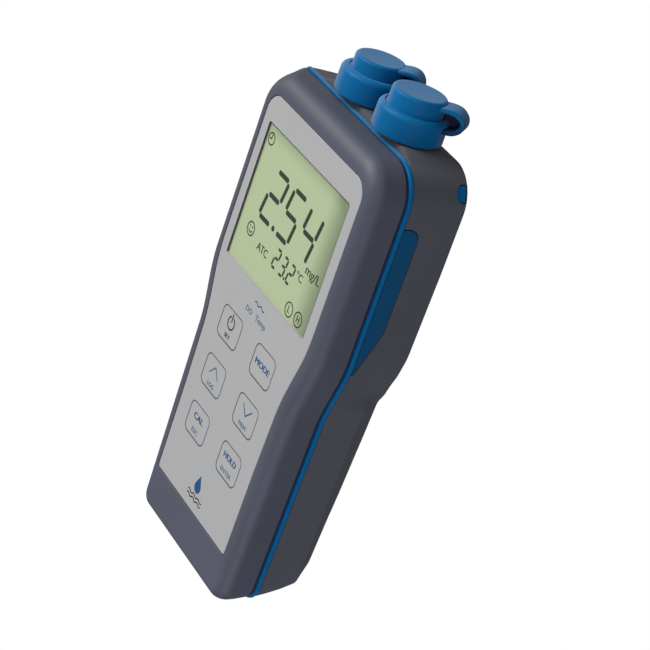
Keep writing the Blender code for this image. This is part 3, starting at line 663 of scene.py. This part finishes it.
def back_cover():
    """Lower half of the case, with the battery bay, the grip recesses and the socket holes."""
    rings = back_surface()
    for z in (RIM, 18.0, 15.0, 12.0, CHAMFER_TOP):
        rings.append(back_ring(z, WALL, SHELL_END))
    rings.append(back_ring(BACK_INSIDE, WALL + 0.8, SHELL_END))
    root = BACK_INSIDE - 0.8
    steps = [("UNION", box(-BAY_HALF_WIDTH - 2, BAY_HALF_WIDTH + 2, BAY_LOW - 2, BAY_HIGH + 2, root, 17.2)),
             ("UNION", merged(posts(CASE_SCREWS, CASE_POST, root, RIM - 0.3)
                              + posts(DOOR_SCREWS, DOOR_POST, root, 10.0))),
             ("DIFFERENCE", prism(door_outline(-GAP), BELOW, 4.0)),
             ("DIFFERENCE", box(-BAY_HALF_WIDTH, BAY_HALF_WIDTH, BAY_LOW, BAY_HIGH, BELOW, 15.6)),
             ("DIFFERENCE", merged(posts(CASE_SCREWS, CASE_HEAD_HOLE, BELOW, 3.5))),
             ("DIFFERENCE", merged(posts(CASE_SCREWS, CASE_HOLE, BELOW, RIM + 2)
                                   + posts(DOOR_SCREWS, DOOR_HOLE, BELOW, 8.6)))]
    holes = [rod(SOCKET_HOLE, (x, SOCKET_BASE - 9.0, SOCKET_Z), (x, SOCKET_BASE + 11.0, SOCKET_Z), sides=64)
             for x in (SOCKET_X, -SOCKET_X)]
    steps.append(("DIFFERENCE", merged(holes)))
    recess = ((False, -GAP, 3.0), (True, 1.2, 3.0), (True, 1.2, -1.8), (False, -GAP, -1.8))
    for side in (1, -1):
        steps.append(("DIFFERENCE", loft(grip_rings(side, GAP, recess))))
        steps.append(("DIFFERENCE", foot_disc(side, FOOT_RADIUS + GAP, inner=-2.9, outer=3.0, floor=0.5)))
    piece("back_shell", combined(loft(rings), steps), "back_plastic", nodes=["back_cover"], crease=28.0)


def gasket():
    """Blue seal between the covers: a rounded bead, and a lip set back under the front cover's rim, coloured
    near-black blue as painted shade in the groove.
    """
    bead = ((2.3, GASKET_LOW - 0.1), (0.5, GASKET_LOW - 0.1), (0.0, GASKET_LOW),
            (-GASKET_PROUD * 0.75, 21.65), (-GASKET_PROUD, 22.05), (-GASKET_PROUD, 22.5),
            (-GASKET_PROUD * 0.7, 22.8), (0.05, 22.95), (0.95, 23.0), (0.95, 23.88), (2.3, 23.88))
    lip = ((0.35, 23.02), (0.35, 23.84), (0.93, 23.84), (0.93, 23.02))
    band_mesh, lip_mesh = (loft([front_ring(z, inset) for inset, z in section], closed=True)
                           for section in (bead, lip))
    piece("seal_band", band_mesh, "blue_rubber", nodes=["parting_gasket"])
    piece("seal_lip", lip_mesh, "painted_shade_rubber")


def grips_and_feet():
    section = ((False, 0.0, -0.2), (False, 0.12, 0.12), (False, 0.45, 0.25), (True, -0.3, 0.25),
               (True, 0.0, 0.1), (True, 0.0, -1.5), (False, 0.0, -1.5))
    for side, word in ((1, "right"), (-1, "left")):
        grip = piece("side_grip_" + word, loft(grip_rings(side, 0.0, section)), "grip_rubber",
                     nodes=["grip_pad_" + word])
        foot = foot_disc(side, FOOT_RADIUS, inner=-2.6, outer=-0.4, floor=0.8)
        rims = [edge for edge in foot.edges if edge.calc_face_angle(0.0) > math.radians(60)]
        bmesh.ops.bevel(foot, geom=rims, offset=0.2 * MM, segments=3, affect="EDGES", clamp_overlap=True)
        piece("corner_pad_" + word, foot, "blue_rubber", nodes=["corner_foot_" + word])


# ---------------------------------------------------------------- label and display

def label():
    """Membrane label, cut out for the window and the keys."""
    body = loft([at_level(label_outline(), LABEL_LOW), at_level(label_outline(), LABEL_HIGH - 0.12),
                 at_level(label_outline(-0.12), LABEL_HIGH)])
    holes = [window_outline(0.0)] + [key_outline(x, s, OUTLINE_WIDTH) for _, x, s in key_places()]
    cuts = merged([prism(hole, LABEL_LOW - 2, LABEL_HIGH + 2) for hole in holes])
    piece("label_sheet", combined(body, [("DIFFERENCE", cuts)]), "label_grey", nodes=["keypad_label"],
          crease=20.0)
    for name, x, s in key_places():
        line = band(key_outline(x, s, OUTLINE_WIDTH - 0.01), key_outline(x, s, 0.04), LABEL_HIGH - 0.35,
                    LABEL_HIGH - 0.01)
        piece("outline_of_" + name, line, "outline_ink")


def display():
    """Display panel, the lining of its opening (black but for a pale sill) and the clear window over it."""
    piece("display_panel", prism(window_outline(1.3), PANEL_LOW, PANEL_TOP), "lcd_green", nodes=["lcd_panel"])
    left, right = (WINDOW_X + side * (WINDOW_HALF_WIDTH - 0.02) for side in (-1, 1))
    low, high = WINDOW_LOW + 0.02, WINDOW_HIGH - 0.02
    levels = PANEL_TOP + 0.01, LABEL_HIGH - 0.03
    width = WINDOW_LINING
    lining = [box(left, left + width, low + width, high, *levels),
              box(right - width, right, low + width, high, *levels),
              box(left + width, right - width, high - width, high, *levels)]
    piece("window_lining", merged(lining), "dark_plastic")
    piece("window_sill", box(left, right, low, low + width - 0.01, *levels), "label_grey")
    glass = prism(window_outline(-WINDOW_LINING - 0.03), PANEL_TOP + 0.2, LABEL_HIGH - 0.12)
    piece("window_glass", glass, "clear_window", nodes=["display_window"])


def strokes(path, width, low, high):
    """Flat strokes along an (x, s) path, one prism with round ends for each straight run."""
    solids = []
    for start, end in zip(path, path[1:]):
        run = (Vector(end) - Vector(start)).normalized()
        side = Vector((-run.y, run.x)) * width / 2
        back = run * width / 2
        outline = []
        for place_2d, turn, first in ((start, 1, 0), (end, -1, 1)):     # the far end starts one step on
            for i in range(first, 9):
                angle = math.pi * i / 8
                offset = (side * math.cos(angle) - back * math.sin(angle)) * turn
                outline.append(tuple(Vector(place_2d) + offset))
        solids.append(prism(outline, low, high))
    return merged(solids)


def circle_path(x, s, radius, start=0.0, end=360.0, steps=40):
    turn = [math.radians(start + (end - start) * i / steps) for i in range(steps + 1)]
    return [(x + radius * math.cos(a), s + radius * math.sin(a)) for a in turn]


def curved_stroke(path, width, low, high):
    """One flat stroke along a curved path, as a single prism."""
    closed = math.dist(path[0], path[-1]) < 1e-6
    sides = []
    for i, (x, s) in enumerate(path):
        before = path[i - 1] if i else path[-2 if closed else 0]
        after = path[i + 1] if i + 1 < len(path) else path[1 if closed else -1]
        run = Vector((after[0] - before[0], after[1] - before[1])).normalized()
        sides.append((Vector((x, s)), Vector((-run.y, run.x)) * width / 2))
    left = [tuple(p + n) for p, n in sides]
    right = [tuple(p - n) for p, n in sides]
    if closed:
        return band(left[:-1], right[:-1], low, high)
    return prism(left + right[::-1], low, high)


SEGMENTS = {
    # segment: ends as shares of the digit's width and height
    "a": ((0, 1), (1, 1)), "b": ((1, 1), (1, 0.5)), "c": ((1, 0.5), (1, 0)), "d": ((0, 0), (1, 0)),
    "e": ((0, 0.5), (0, 0)), "f": ((0, 1), (0, 0.5)), "g": ((0, 0.5), (1, 0.5))}
DIGITS = {"2": "abged", "5": "afgcd", "4": "fgbc", "3": "abgcd"}


def segment_outline(start, end, width, gap):
    """A display segment: a bar with chamfered ends, short of its neighbours by a gap."""
    start, end = Vector(start), Vector(end)
    run = (end - start).normalized()
    side = Vector((-run.y, run.x)) * width / 2
    start, end = start + run * gap, end - run * gap
    tip = run * width * 0.3
    return [tuple(p) for p in (start - side * 0.35, start + tip - side, end - tip - side, end - side * 0.35,
                               end + side * 0.35, end - tip + side, start + tip + side, start + side * 0.35)]


def digit(kind, x, s, size, slant, width, gap):
    """Solids of a slanted seven-segment digit with its lower left corner at (x, s)."""
    solids = []
    for letter in DIGITS[kind]:
        ends = []
        for across, up in SEGMENTS[letter]:
            ends.append((x + across * size[0] + slant * up * size[1], s + up * size[1]))
        outline = segment_outline(ends[0], ends[1], width, gap)
        solids.append(prism(outline, PANEL_TOP, PANEL_TOP + INK_THICKNESS))
    return solids


def lettering(name, text, x_range, s_range, level, look, body="case", bold=0.0):
    """Generic words, fitted to a rectangle; bold thickens their strokes sideways, with a shifted copy."""
    curve = bpy.data.curves.new(name, "FONT")
    curve.body = text
    curve.resolution_u = 6
    letters = bpy.data.objects.new(name + "_curve", curve)
    bpy.context.scene.collection.objects.link(letters)
    bpy.context.view_layer.update()
    mesh = bpy.data.meshes.new_from_object(letters.evaluated_get(bpy.context.evaluated_depsgraph_get()))
    bpy.data.objects.remove(letters)
    bpy.data.curves.remove(curve)
    flat = bmesh.new()
    flat.from_mesh(mesh)
    bpy.data.meshes.remove(mesh)
    low = Vector([min(v.co[i] for v in flat.verts) for i in (0, 1)])
    high = Vector([max(v.co[i] for v in flat.verts) for i in (0, 1)])
    for vertex in flat.verts:
        x = x_range[0] + (vertex.co.x - low.x) / (high.x - low.x) * (x_range[1] - x_range[0] - bold)
        s = s_range[0] + (vertex.co.y - low.y) / (high.y - low.y) * (s_range[1] - s_range[0])
        vertex.co = place(x, s, level)
    bmesh.ops.remove_doubles(flat, verts=flat.verts, dist=1e-7)
    raised = bmesh.ops.extrude_face_region(flat, geom=flat.faces[:] + flat.edges[:])
    lifted = [item for item in raised["geom"] if isinstance(item, bmesh.types.BMVert)]
    bmesh.ops.translate(flat, verts=lifted, vec=(0.0, 0.0, INK_THICKNESS * MM))
    bmesh.ops.recalc_face_normals(flat, faces=flat.faces)
    if bold:
        second = flat.copy()
        bmesh.ops.translate(second, verts=second.verts, vec=(bold * MM, 0.0, NOT_LEVEL * MM))
        flat = merged([flat, second])
    piece(name, flat, look, body)


def display_marks():
    """What the display shows: a reading, its unit, the temperature and status symbols."""
    low, high = PANEL_TOP, PANEL_TOP + INK_THICKNESS
    marks = []
    for kind, x in zip("254", (-19.1, -6.5, 6.15)):
        marks += digit(kind, x, 115.75, size=(8.35, 16.9), slant=0.175, width=1.65, gap=0.6)
    for kind, x in zip("232", (-2.75, 2.4, 7.55)):
        marks += digit(kind, x, 105.95, size=(2.75, 6.45), slant=0.15, width=0.85, gap=0.28)
    # The two decimal points, the rings of the four status symbols, then the clock's hands and the face
    marks.append(prism(disc(-8.5, 115.95, 0.95, 20), low, high))
    marks.append(prism(disc(6.5, 106.1, 0.5, 16), low, high))
    for x, s, radius in ((-26.0, 139.1, 2.0), (-20.7, 109.5, 2.3), (15.0, 99.8, 2.35), (21.5, 99.8, 2.4)):
        marks.append(curved_stroke(circle_path(x, s, radius), 0.44, low, high))
    marks.append(strokes(((-27.15, 139.0), (-26.0, 139.1), (-26.0, 140.6)), 0.44, low, high))
    marks.append(curved_stroke(circle_path(-20.7, 109.7, 1.35, 205, 335, 16), 0.4, low, high))
    for x in (-21.5, -19.9):
        marks.append(prism(disc(x, 110.3, 0.32, 12), low, high))
    piece("display_marks", merged(marks), "segment_ink")
    for name, text, x_range, s_range, bold in (
            ("mark_unit", "mg/L", (16.6, 26.2), (112.9, 116.9), 0.12),
            ("mark_compensation", "ATC", (-14.0, -6.7), (105.9, 108.6), 0.12),
            ("mark_degrees", "°C", (12.6, 16.8), (109.9, 112.6), 0.1),
            ("mark_low", "L", (14.3, 15.7), (98.7, 101.0), 0.12),
            ("mark_high", "H", (20.6, 22.4), (98.7, 101.0), 0.12)):
        lettering(name, text, x_range, s_range, PANEL_TOP, "segment_ink", bold=bold)


def keys():
    """Six keys, flush with the label, each with a stem down to its switch."""
    for name, x, s in key_places():
        outline = key_outline(x, s)
        stem = []
        for px, ps in outline:
            angle = math.atan2(ps - s, px - x)
            stem.append((x + STEM_RADIUS * math.cos(angle), s + STEM_RADIUS * math.sin(angle)))
        under = LABEL_HIGH - KEY_THICKNESS
        rings = [at_level(stem, STEM_LOW), at_level(stem, under), at_level(outline, under),
                 at_level(outline, LABEL_HIGH - 0.06), at_level(key_outline(x, s, -0.06), LABEL_HIGH)]
        piece("plate_of_" + name, loft(rings), "label_grey", body=name, nodes=[name])


def key_words():
    """Legends, as (key, text, half-width, low, high, look, bold) from the key's centre."""
    rows = (("key_power", "SET", 1.9, -4.0, -2.6, "black_ink", 0.16),
            ("key_mode", "MODE", 5.1, -1.0, 1.1, "blue_ink", 0.25),
            ("key_up", "LOG", 2.3, -4.3, -2.8, "blue_ink", 0.08),
            ("key_down", "MEM", 2.6, -4.3, -2.8, "teal_ink", 0.08),
            ("key_cal", "CAL", 3.4, 0.6, 2.7, "blue_ink", 0.25),
            ("key_cal", "ESC", 2.2, -3.9, -2.4, "teal_ink", 0.08),
            ("key_hold", "HOLD", 4.5, 0.6, 2.7, "blue_ink", 0.25),
            ("key_hold", "ENTER", 3.8, -4.0, -2.5, "teal_ink", 0.08))
    centres = {name: (x, s) for name, x, s in key_places()}
    for key, text, half, low, high, look, bold in rows:
        x, s = centres[key]
        lettering(f"legend_{text.lower()}", text, (x - half, x + half), (s + low, s + high), LABEL_HIGH,
                  look, body=key, bold=bold)
    low, high = LABEL_HIGH, LABEL_HIGH + INK_THICKNESS
    x, s = centres["key_power"]
    symbol = [curved_stroke(circle_path(x, s + 1.5, 2.2, 112, 428), 0.5, low, high),
              strokes(((x, s + 2.0), (x, s + 4.6)), 0.5, low, high)]
    piece("legend_power_symbol", merged(symbol), "black_ink", body="key_power")
    for word, foot, tip, look in (("up", -0.2, 2.9, "teal_ink"), ("down", 2.9, -0.1, "blue_ink")):
        x, s = centres["key_" + word]
        arrow = strokes(((x - 3.1, s + foot), (x, s + tip), (x + 3.1, s + foot)), 0.45, low, high)
        piece(f"legend_{word}_arrow", arrow, look, body="key_" + word)


def label_prints():
    """Generic prints: what the meter measures, under the display, and a water drop at the tail."""
    lettering("print_quantity", "DO", (-7.3, -3.1), (87.2, 89.1), LABEL_HIGH, "teal_ink", bold=0.08)
    lettering("print_temperature", "Temp", (-0.4, 6.9), (86.6, 89.2), LABEL_HIGH, "teal_ink", bold=0.08)
    low, high = LABEL_HIGH, LABEL_HIGH + INK_THICKNESS
    wave = [(-3.4 + 0.34 * i, 92.2 + 0.45 * math.sin(math.tau * i / 10)) for i in range(21)]
    piece("print_wave", curved_stroke(wave, 0.4, low, high), "blue_ink")
    drop = [(0.0, 28.4)] + [(2.1 * math.cos(a), 24.0 + 2.1 * math.sin(a))
                            for a in (math.radians(35 - 250 * i / 30) for i in range(31))]
    piece("print_drop", prism(drop, low, high), "blue_ink")
    ripples = [[(-5.2 + 0.26 * i, level + 0.35 * math.sin(math.tau * i / 13.3)) for i in range(41)]
               for level in (20.7, 19.3)]
    prints = [curved_stroke(line, 0.42, low, high) for line in ripples]
    piece("print_ripples", merged(prints), "black_ink")


# ---------------------------------------------------------------- caps and sockets

def cap_profile(top, height):
    """Two-step cap with a fine groove round the foot of its narrow step; hollow below."""
    outside = [(0.0, height - 0.14), (top - 2.4, height - 0.1), (top - 1.5, height),
               (top - 0.95, height - 0.03), (top - 0.45, height - 0.2), (top - 0.12, height - 0.55),
               (top, height - 1.0), (top + 0.05, 9.4), (top + 0.08, 8.6), (top + 0.2, 8.35),
               (top + 0.42, 8.3), (top + 0.6, 8.42), (top + 0.78, 8.6), (top + 0.95, 8.66)]
    wide = CAP_RADIUS - 0.1
    shoulder = max(top + 0.95, wide - 1.5)
    for i in range(1, 9):
        angle = math.pi / 2 * i / 8
        outside.append((shoulder + (wide - shoulder) * math.sin(angle), 8.55 - 1.725 * (1 - math.cos(angle))))
    outside += [(CAP_RADIUS, 3.0), (CAP_RADIUS, 0.5), (CAP_RADIUS - 0.15, 0.15), (CAP_RADIUS - 0.5, 0.0)]
    inside = [(9.9, 0.0), (9.7, 0.2), (9.7, 3.1), (6.7, 3.1), (6.7, 10.4), (0.0, 10.4)]
    return outside + inside


TAB_ROOT = 6.6
# Reach from the cap's axis, height above its base, half-width of the strap
TAB_PATH = ((TAB_ROOT, 12.1, 4.4), (10.4, 12.8, 4.4), (13.4, 12.7, 4.0), (15.6, 11.3, 3.4), (16.2, 9.5, 3.0),
            (15.4, 7.6, 3.2), (13.4, 6.4, 3.8), (10.4, 6.0, 4.0))
WEB_LEVELS = (-2.8, -1.8)


def smooth_path(points, steps):
    """Points of any size along a Catmull-Rom curve through the given ones."""
    result = []
    for i in range(len(points) - 1):
        p0, p1 = points[max(i - 1, 0)], points[i]
        p2, p3 = points[i + 1], points[min(i + 2, len(points) - 1)]
        for k in range(steps):
            t = k / steps
            weights = (-0.5 * t + t * t - 0.5 * t ** 3, 1 - 2.5 * t * t + 1.5 * t ** 3,
                       0.5 * t + 2 * t * t - 1.5 * t ** 3, -0.5 * t * t + 0.5 * t ** 3)
            result.append(tuple(sum(w * p[j] for w, p in zip(weights, (p0, p1, p2, p3)))
                                for j in range(len(p1))))
    result.append(points[-1])
    return result


def tab_place(x, reach, height, across):
    """A place on a cap's loop: reach out from the cap's axis, height above its base, and across the strap."""
    cos, sin = math.cos(CAP_TAB_ANGLE), math.sin(CAP_TAB_ANGLE)
    return (x + reach * cos + across * sin, CAP_BASE + height, SOCKET_Z - reach * sin + across * cos)


def loop_path(size):
    """Middle line of a pull loop: TAB_PATH, with its reach past its root scaled by size."""
    return smooth_path([(TAB_ROOT + (reach - TAB_ROOT) * size, *rest) for reach, *rest in TAB_PATH], 6)


def tab(x, size):
    """Pull loop of a cap: a strap with rounded edges."""
    path = loop_path(size)
    rings = []
    for i, (reach, height, half) in enumerate(path):
        r0, h0, _ = path[max(i - 1, 0)]
        r1, h1, _ = path[min(i + 1, len(path) - 1)]
        run = Vector((r1 - r0, h1 - h0)).normalized()
        rings.append([tab_place(x, reach - run.y * b, height + run.x * b, a)
                      for a, b in rounded_rectangle(-half, half, -0.8, 0.8, 0.55, 3)])
    return loft(rings)


def web(x, size):
    """Thin web that closes the back of the pull loop."""
    path = loop_path(size)
    return loft([[tab_place(x, reach, height, a) for reach, height, _ in path] for a in WEB_LEVELS])


def caps():
    for side, word in ((1, "right"), (-1, "left")):
        x = side * SOCKET_X
        shape = turned(x, CAP_BASE, cap_profile(CAP_TOP_RADII[word], CAP_HEIGHTS[word]))
        name = "socket_cap_" + word
        piece("cap_" + word, shape, "blue_rubber", body=name, nodes=[name], crease=40.0)
        loop = piece("loop_of_cap_" + word, tab(x, LOOP_SIZES[word]), "loop_rubber", body=name, crease=40.0)
        # The web is coloured near-black blue as painted shade inside the loop.
        back = piece("web_of_cap_" + word, web(x, LOOP_SIZES[word]), "painted_shade_rubber", body=name)


def sockets():
    """Threaded socket barrels, seen when a cap is off."""
    for side, word in ((1, "right"), (-1, "left")):
        profile = [(0.0, 0.0), (4.9, 0.0), (4.9, 11.7), (5.2, 12.0), (6.0, 12.0)]
        for i in range(6):
            top = 11.6 - 0.8 * i
            profile += [(6.3, top), (6.3, top - 0.15), (5.9, top - 0.4), (5.9, top - 0.5)]
        profile += [(6.3, 6.6), (6.3, 6.2), (9.0, 6.2), (9.2, 6.0), (9.2, 4.8), (6.3, 4.8), (6.3, -9.0),
                    (0.0, -9.0)]
        piece("socket_barrel_" + word, turned(side * SOCKET_X, SOCKET_BASE, profile), "nickel",
              nodes=["probe_socket_" + word], crease=25.0)


# ---------------------------------------------------------------- back details

def screw(name, x, s, head, shank, head_low, head_high, tip):
    """A pan-head screw that points up, with a cross recess in its head."""
    steps = ((head - 0.5, head_low), (head - 0.12, head_low + 0.12), (head, head_low + 0.4),
             (head, head_high), (shank, head_high), (shank, tip - 0.8), (shank * 0.5, tip))
    shape = loft([at_level(disc(x, s, radius, 32), z) for radius, z in steps])
    depth = head_low + (head_high - head_low) * 0.6
    slots = [("DIFFERENCE", box(x - a, x + a, s - b, s + b, head_low - 1.0, depth))
             for a, b in ((head * 0.58, 0.35), (0.35, head * 0.58))]
    piece("head_of_" + name, combined(shape, slots), "steel", nodes=[name], crease=28.0)


def screws():
    for kind, places, sizes in (("case", CASE_SCREWS, CASE_SCREW_SIZES),
                                ("door", DOOR_SCREWS, DOOR_SCREW_SIZES)):
        for number, (x, s) in enumerate(mirrored(places), 1):
            screw(f"{kind}_screw_{number}", x, s, *sizes)


def battery_door():
    """Flat door with softened edges, two screw recesses at each end and finger ribs."""
    shape = loft([at_level(door_outline(inset), z) for inset, z in ((0.4, 0.2), (0.1, 0.32), (0.0, 0.6),
                                                                    (0.0, 2.8))])
    cuts = posts(DOOR_SCREWS, DOOR_HEAD_HOLE, BELOW, 1.5) + posts(DOOR_SCREWS, DOOR_HOLE, BELOW, 6.0)
    grooves = [prism(rounded_rectangle(-7.0, 7.0, s, s + 0.7, 0.3, 4), BELOW, 0.55)
               for s in (69.0, 70.6, 72.2, 73.8, 75.4)]
    steps = [("DIFFERENCE", bm) for bm in cuts] + [("DIFFERENCE", merged(grooves))]
    piece("door_panel", combined(shape, steps), "back_plastic", nodes=["battery_door"], crease=28.0)


def dress_cad_nodes():
    """Gives every CAD node that still shows its slot's material."""
    slots = {entry["node"]: entry["material_slot"] for entry in frame["record"]["subparts"]}
    for name, shown in frame["nodes"].items():
        if shown.hide_render:
            continue
        shown.data.materials.clear()
        shown.data.materials.append(LOOKS[slots[name]])


# ---------------------------------------------------------------- studio

def floor_look():
    """Plain white floor that shows bright but throws little light back."""
    white = bpy.data.materials.new("white_floor")
    white.use_nodes = True
    tree = white.node_tree
    tree.nodes.clear()
    seen = node(tree, "ShaderNodeEmission", Color=(1.0, 1.0, 1.0, 1.0), Strength=1.0)
    thrown = node(tree, "ShaderNodeEmission", Color=(0.95, 0.97, 1.0, 1.0), Strength=0.17)
    path = tree.nodes.new("ShaderNodeLightPath")
    choice = tree.nodes.new("ShaderNodeMixShader")
    output = tree.nodes.new("ShaderNodeOutputMaterial")
    tree.links.new(path.outputs["Is Camera Ray"], choice.inputs[0])
    tree.links.new(thrown.outputs["Emission"], choice.inputs[1])
    tree.links.new(seen.outputs["Emission"], choice.inputs[2])
    tree.links.new(choice.outputs["Shader"], output.inputs["Surface"])
    return white


CAMERA_LENS = 146.04
CAMERA_PLACE = (0.64054, 0.336915, 0.46034)
CAMERA_TURN = (6.508, 57.8586, 35.4573)      # degrees about X, Y and Z


def studio():
    """White floor, soft lights and the camera."""
    scene = bpy.context.scene
    scene.view_settings.view_transform = "Standard"
    floor_mesh = bmesh.new()
    bmesh.ops.create_grid(floor_mesh, x_segments=1, y_segments=1, size=3.0)
    floor = object_from("floor", floor_mesh)
    floor.location = (0.0, 0.0, -0.0002)
    floor.data.materials.append(floor_look())
    world = bpy.data.worlds.new("studio")
    scene.world = world
    world.use_nodes = True
    backdrop = world.node_tree.nodes["Background"]
    backdrop.inputs["Color"].default_value = (0.92, 0.96, 1.10, 1.0)
    backdrop.inputs["Strength"].default_value = 0.32
    for name, spot, size, power, color in (
            ("overhead", (-1.00, 1.50, 1.60), 1.6, 60.0, (1.03, 1.01, 0.96)),
            ("side_light", (1.15, 0.25, 0.50), 0.6, 2.0, (0.98, 0.99, 1.04)),
            ("tail_light", (0.60, -0.55, 0.35), 0.4, 1.9, (0.97, 0.98, 1.05))):
        lamp = bpy.data.lights.new(name, "AREA")
        lamp.size = size
        lamp.energy = power
        lamp.color = color
        holder = bpy.data.objects.new(name, lamp)
        holder.location = spot
        holder.rotation_euler = (-Vector(spot)).to_track_quat("-Z", "Y").to_euler()
        scene.collection.objects.link(holder)
    lens = bpy.data.cameras.new("camera")
    lens.sensor_width = 36.0
    lens.lens = CAMERA_LENS
    camera = bpy.data.objects.new("camera", lens)
    camera.location = CAMERA_PLACE
    camera.rotation_euler = [math.radians(angle) for angle in CAMERA_TURN]
    scene.collection.objects.link(camera)
    scene.camera = camera


front_cover()
back_cover()
gasket()
grips_and_feet()
label()
display()
display_marks()
keys()
key_words()
label_prints()
caps()
sockets()
screws()
battery_door()
dress_cad_nodes()
studio()
